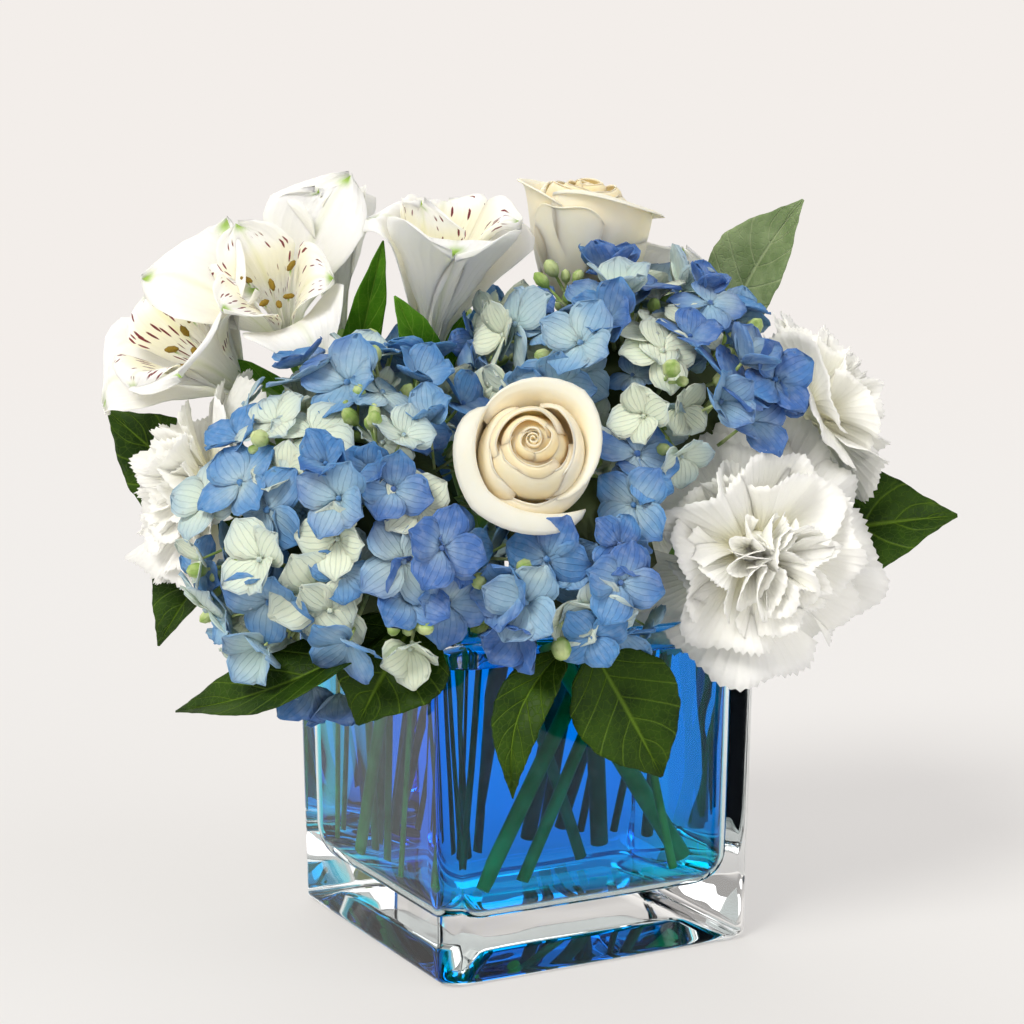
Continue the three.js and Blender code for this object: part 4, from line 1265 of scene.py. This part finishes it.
def carnation(seed):
    """A full carnation, facing +Z: broad fans with toothed edges, flat outside, and upright folded ones
    inside."""
    shape = Shape()
    columns = 2 * CARNATION_TEETH
    for n in range(CARNATION_PETALS):
        share = n / (CARNATION_PETALS - 1)  # 0 outside, 1 in the middle
        key = seed * 100 + n
        facing = n * GOLDEN + seed
        length = mix(42, 22.5, share**0.9) * spread(key, 0.88, 1.06)
        rise = mix(-0.05, 1.5, share**0.85) + spread(key + 5, -0.22, 0.22)
        half = mix(0.66, 0.95, share) * spread(key + 7, 0.85, 1.15)
        ruffle = mix(4.0, 6.5, share) * spread(key + 9, 0.7, 1.3)
        folds, phase = mix(3.0, 5.4, scatter(key + 11)), spread(key + 13, 0, TURN)
        droop = spread(key + 15, 0.0, 0.5)  # how far its outer part bends back down

        def place(u, v):
            point = round((u + 1) * columns / 2)
            tooth = (-1) ** point * spread(point + key, 0.0, 0.9) * smooth(0.85, 1, v)
            notch = 1.6 * math.sin(7.0 * u + 2 * phase) * smooth(0.6, 1, v)
            reach = length * v * (1 - 0.16 * u * u) + tooth + notch
            lean = rise - droop * v * (1 - 0.55 * share)
            wave = ruffle * v**1.6 * math.sin(folds * u + phase) + 0.55 * v**6 * math.sin(15 * u + 2 * phase)
            angle = facing + u * half * (0.3 + 0.7 * v**0.7)
            flat = reach * math.cos(lean) - wave * math.sin(lean)
            high = reach * math.sin(lean) + wave * math.cos(lean)
            return Vector((flat * math.cos(angle), flat * math.sin(angle), high - 13 + 2 * share * v)) * MM

        shape.sheet(place, columns, 10, 0.4)
    base = [(0.5, -15.5), (5.5, -14), (7, -9), (6.5, -4), (4, -1.5), (0.4, -0.8)]
    shape.lathe(base, Quaternion(), Vector(), 14)
    return shape


# ---------------------------------------------------------------- Peruvian lilies

# Half widths of a tepal along its length, as shares of its widest.
BROAD_TEPAL = [
    (0, 0.1), (0.2, 0.18), (0.42, 0.6), (0.6, 0.96), (0.72, 1.0), (0.85, 0.76), (0.94, 0.4), (1, 0.05),
]
NARROW_TEPAL = [(0, 0.15), (0.25, 0.24), (0.5, 0.7), (0.7, 1.0), (0.86, 0.8), (0.95, 0.4), (1, 0.06)]


def lily(seed, opening=1.0):
    """A flower of three broad outer and three narrower inner tepals, facing +Z, with stamens in it."""
    shape = Shape()
    for k in range(6):
        outer = k % 2 == 0
        key = seed * 20 + k
        turn = Matrix.Rotation(0.4 + TURN * k / 6 + spread(key + 8, -0.2, 0.2), 3, "Z")
        if outer:
            half, outline = 16.5, BROAD_TEPAL
            reach, top = spread(key, 22, 30) * opening, spread(key + 2, 0, 8)
        else:
            half, outline = 12.0, NARROW_TEPAL
            reach, top = spread(key, 14, 22) * opening, spread(key + 3, 3, 9)
        top -= 9 * (opening - 0.8)
        back, swell = spread(key + 4, -3.0, 7.0) * opening, spread(key + 9, 1.0, 1.7)
        wave, bend = spread(key + 6, 0, TURN), spread(key + 11, -5, 5)

        def place(u, v):
            side = u * half * along_table(outline, v)
            out = 1.2 + (reach - 1.2) * v**swell
            rise = mix(-38, top, math.sin(v * TURN / 4 * 0.98)) - back * smooth(0.7, 1, v) ** 2
            trough = side * side / half * mix(0.85, 0.25, v)
            ripple = 2.2 * v**3 * math.sin(6.0 * u + wave) * abs(u)
            ripple += 0.9 * v**2 * u * u * math.sin(16 * v + wave)
            return turn @ mm(out - 0.5 * trough, side + bend * v**3, rise + 0.5 * trough + ripple)

        shape.sheet(place, 16, 18, 0.5, tint=scatter(key) * 3, upper=0 if outer else 1)
    for k in range(6):
        angle, reach = TURN * (k + 0.3) / 6, spread(seed * 30 + k, 4, 8)
        side = Vector((math.cos(angle), math.sin(angle), 0))
        rise = mm(0, 0, spread(seed + k, -10, -4))
        path = smooth_path([mm(0, 0, -36), side * 2 * MM + mm(0, 0, -22), side * reach * MM + rise], 4)
        shape.tube(path, [0.45] * len(path), 5, finish=0)
        pollen_sac = [(0.3, -1.9), (0.9, -0.9), (0.9, 0.9), (0.3, 1.9)]
        shape.lathe(pollen_sac, turn_to(side + UP * 0.4), path[-1], 6, finish=3)
    ovary = [(0.6, -43), (2.6, -42), (3.8, -39), (4.0, -36.5), (2.8, -34), (1.0, -32)]
    shape.lathe(ovary, Quaternion(), Vector(), 12, finish=2)
    return shape


# ---------------------------------------------------------------- leaves

# Half widths of a blade along its length, as shares of its widest.
BROAD_LEAF = [
    (0, 0.05), (0.06, 0.08), (0.12, 0.2), (0.22, 0.68), (0.36, 0.96), (0.48, 1.0),
    (0.62, 0.9), (0.76, 0.64), (0.88, 0.32), (0.95, 0.14), (1, 0.03),
]
NARROW_LEAF = [(0, 0.25), (0.2, 0.6), (0.5, 1.0), (0.75, 0.8), (0.92, 0.35), (1, 0.04)]

# How many teeth a broad leaf has along each edge.
LEAF_TEETH = 34


def leaf(shape, start, end, face, width, arch, outline, teeth=0, seed=0, bulge=(0, 0, 0)):
    """A blade from its stalk to its tip, folded along the midrib, arched, waved and toothed at its edges. It
    can bulge out of its way round a bloom."""
    start, end, face = mm(*start), mm(*end), Vector(face)
    along = end - start
    length = along.length / MM
    along.normalize()
    up = (face - along * face.dot(along)).normalized()
    side = along.cross(up)
    twist = spread(seed + 3, -0.15, 0.15)

    def place(u, v):
        share = along_table(outline, v)
        tooth = 0.35 * math.modf(v * teeth)[0] * smooth(0.12, 0.3, v) * smooth(1, 0.9, v)
        out = u * (share * width / 2 + (tooth if abs(u) == 1 else 0))
        fold = abs(u) * share * width * 0.15
        wave = 0.045 * width * share * u * u * math.sin(9 * v + seed + u)
        rib = -0.35 * math.exp(-((u * 9) ** 2)) * smooth(1, 0.8, v)
        rise = arch * 4 * v * (1 - v) + fold + wave + rib + twist * out * v
        detour = Vector(bulge) * math.sin(min(v, 1) * TURN / 2)
        return start + (along * v * length + side * out + up * rise + detour) * MM

    shape.sheet(place, 18, 44 if teeth else 24, 0.5, upper=0, under=1)


# ---------------------------------------------------------------- putting it together

set_camera()
studio()

vase_piece = show("glass_vase", vase())
even_normals(vase_piece)
stand_for(vase_piece, ["vase"])
water_piece = show("blue_water", water())
even_normals(water_piece)
stand_for(water_piece, ["water"])

CLEAR_BALLS = keep_clear()
KINDS, TAKEN = floret_kinds(), []
for seed, (name, head) in enumerate(HYDRANGEAS.items()):
    piece = mophead(f"hydrangea_head_{name}", head, KINDS, CLEAR_BALLS, TAKEN, 11 + seed)
    stand_for(piece, [f"hydrangea_{name}"])
for kind in list(KINDS.objects):
    bpy.data.objects.remove(kind)
bpy.data.collections.remove(KINDS)


# How long a stem runs straight along its bloom's axis, and how far behind a lily's middle its base is, for a
# flower of size 1.
STRAIGHT_END, LILY_DEPTH = 14, 40


def bloom_stem(name, stem, sink, radii):
    """A flower's stem: it ends a distance behind the bloom's middle, after a straight stretch."""
    axis = Vector(stem["toward"]).normalized()
    end = mm(*(Vector(stem["at"]) - axis * sink))
    behind = mm(*(Vector(stem["at"]) - axis * (sink + STRAIGHT_END)))
    path = stem_path(stem, behind)[:-1] + [behind.lerp(end, k / 4) for k in range(5)]
    stand_for(stalk_piece(f"cut_{name}", [(path, radii)]), [name])


for name, head in HYDRANGEAS.items():
    bloom_stem(f"hydrangea_{name}_stem", head, head["along"] * 0.5 - 7, [(0, 3.2), (0.5, 3.3), (1, 3.0)])

for name, one in ROSES.items():
    shape = moved(rose(one["spin"], one.get("closed", 0)), one["at"], one["toward"], one.get("size", 1))
    piece = piece_of(f"rose_bloom_{name}", shape, [ROSE_PETAL])
    stand_for(piece, [f"rose_{name}"])
    bloom_stem(f"rose_{name}_stem", one, 20, [(0, 2.8), (0.9, 3.0), (0.96, 3.6), (1, 5.5)])

for seed, (name, one) in enumerate(CARNATIONS.items()):
    shape = moved(carnation(seed + 1), one["at"], one["toward"], one["size"])
    piece = piece_of(f"carnation_bloom_{name}", shape, [CARNATION_PETAL])
    stand_for(piece, [f"carnation_{name}"])
    bloom_stem(f"carnation_{name}_stem", one, 13, [(0, 2.2), (0.86, 2.4), (0.92, 4.5), (1, 5.8)])

for seed, (name, spray) in enumerate(LILY_SPRAYS.items()):
    split = mm(*spray["split"])
    root = split.lerp(mm(*spray["via"][-1]), 0.06)
    paths = [(stem_path(spray, split), [(0, 2.1), (1, 2.2)])]
    for n, (flower, (at, toward, size, opening)) in enumerate(spray["flowers"].items()):
        shape = moved(lily(10 * seed + n, opening), at, toward, size)
        piece = piece_of(f"lily_flower_{flower}", shape, [TEPAL, STREAKED_TEPAL, STEM, ANTHER])
        stand_for(piece, [f"lily_{flower}"])
        axis = Vector(toward).normalized()
        end = mm(*(Vector(at) - axis * LILY_DEPTH * size))
        behind = mm(*(Vector(at) - axis * (LILY_DEPTH * size + 5)))
        paths.append((smooth_path([root, behind, end], 8), [(0, 1.8), (0.8, 1.4), (1, 1.8)]))
    stand_for(stalk_piece(f"lily_stalks_{name}", paths), [f"lily_stem_{name}"])
    blades = Shape()
    for n, (tip, face, width) in enumerate(spray["leaves"]):
        leaf(blades, spray["split"], tip, face, width, 4, NARROW_LEAF, seed=seed + n)
    piece = piece_of(f"lily_leaves_{name}", blades, [GRASS_LEAF, GRASS_LEAF])
    stand_for(piece, [f"lily_stem_{name}"])

for seed, (name, sprig) in enumerate(LEAFY_STEMS.items()):
    path = stem_path(sprig, mm(*sprig["top"]))
    piece = stalk_piece(f"sprig_stalk_{name}", [(path, [(0, 1.5), (0.8, 1.4), (1, 1.0)])])
    stand_for(piece, [f"foliage_{name}"])
    blades = Shape()
    for n, (tip, face, width, arch, *bulge) in enumerate(sprig["leaves"]):
        leaf(blades, sprig["top"], tip, face, width, arch, BROAD_LEAF, LEAF_TEETH, 5 * seed + n, *bulge)
    # Painted sheen: the top right sprig's upper sides are paler for the light on them.
    upper = LEAF_PAINTED_SHEEN if sprig.get("painted_sheen") else LEAF_TOP
    piece = piece_of(f"sprig_leaves_{name}", blades, [upper, LEAF_UNDER])
    stand_for(piece, [f"foliage_{name}"])
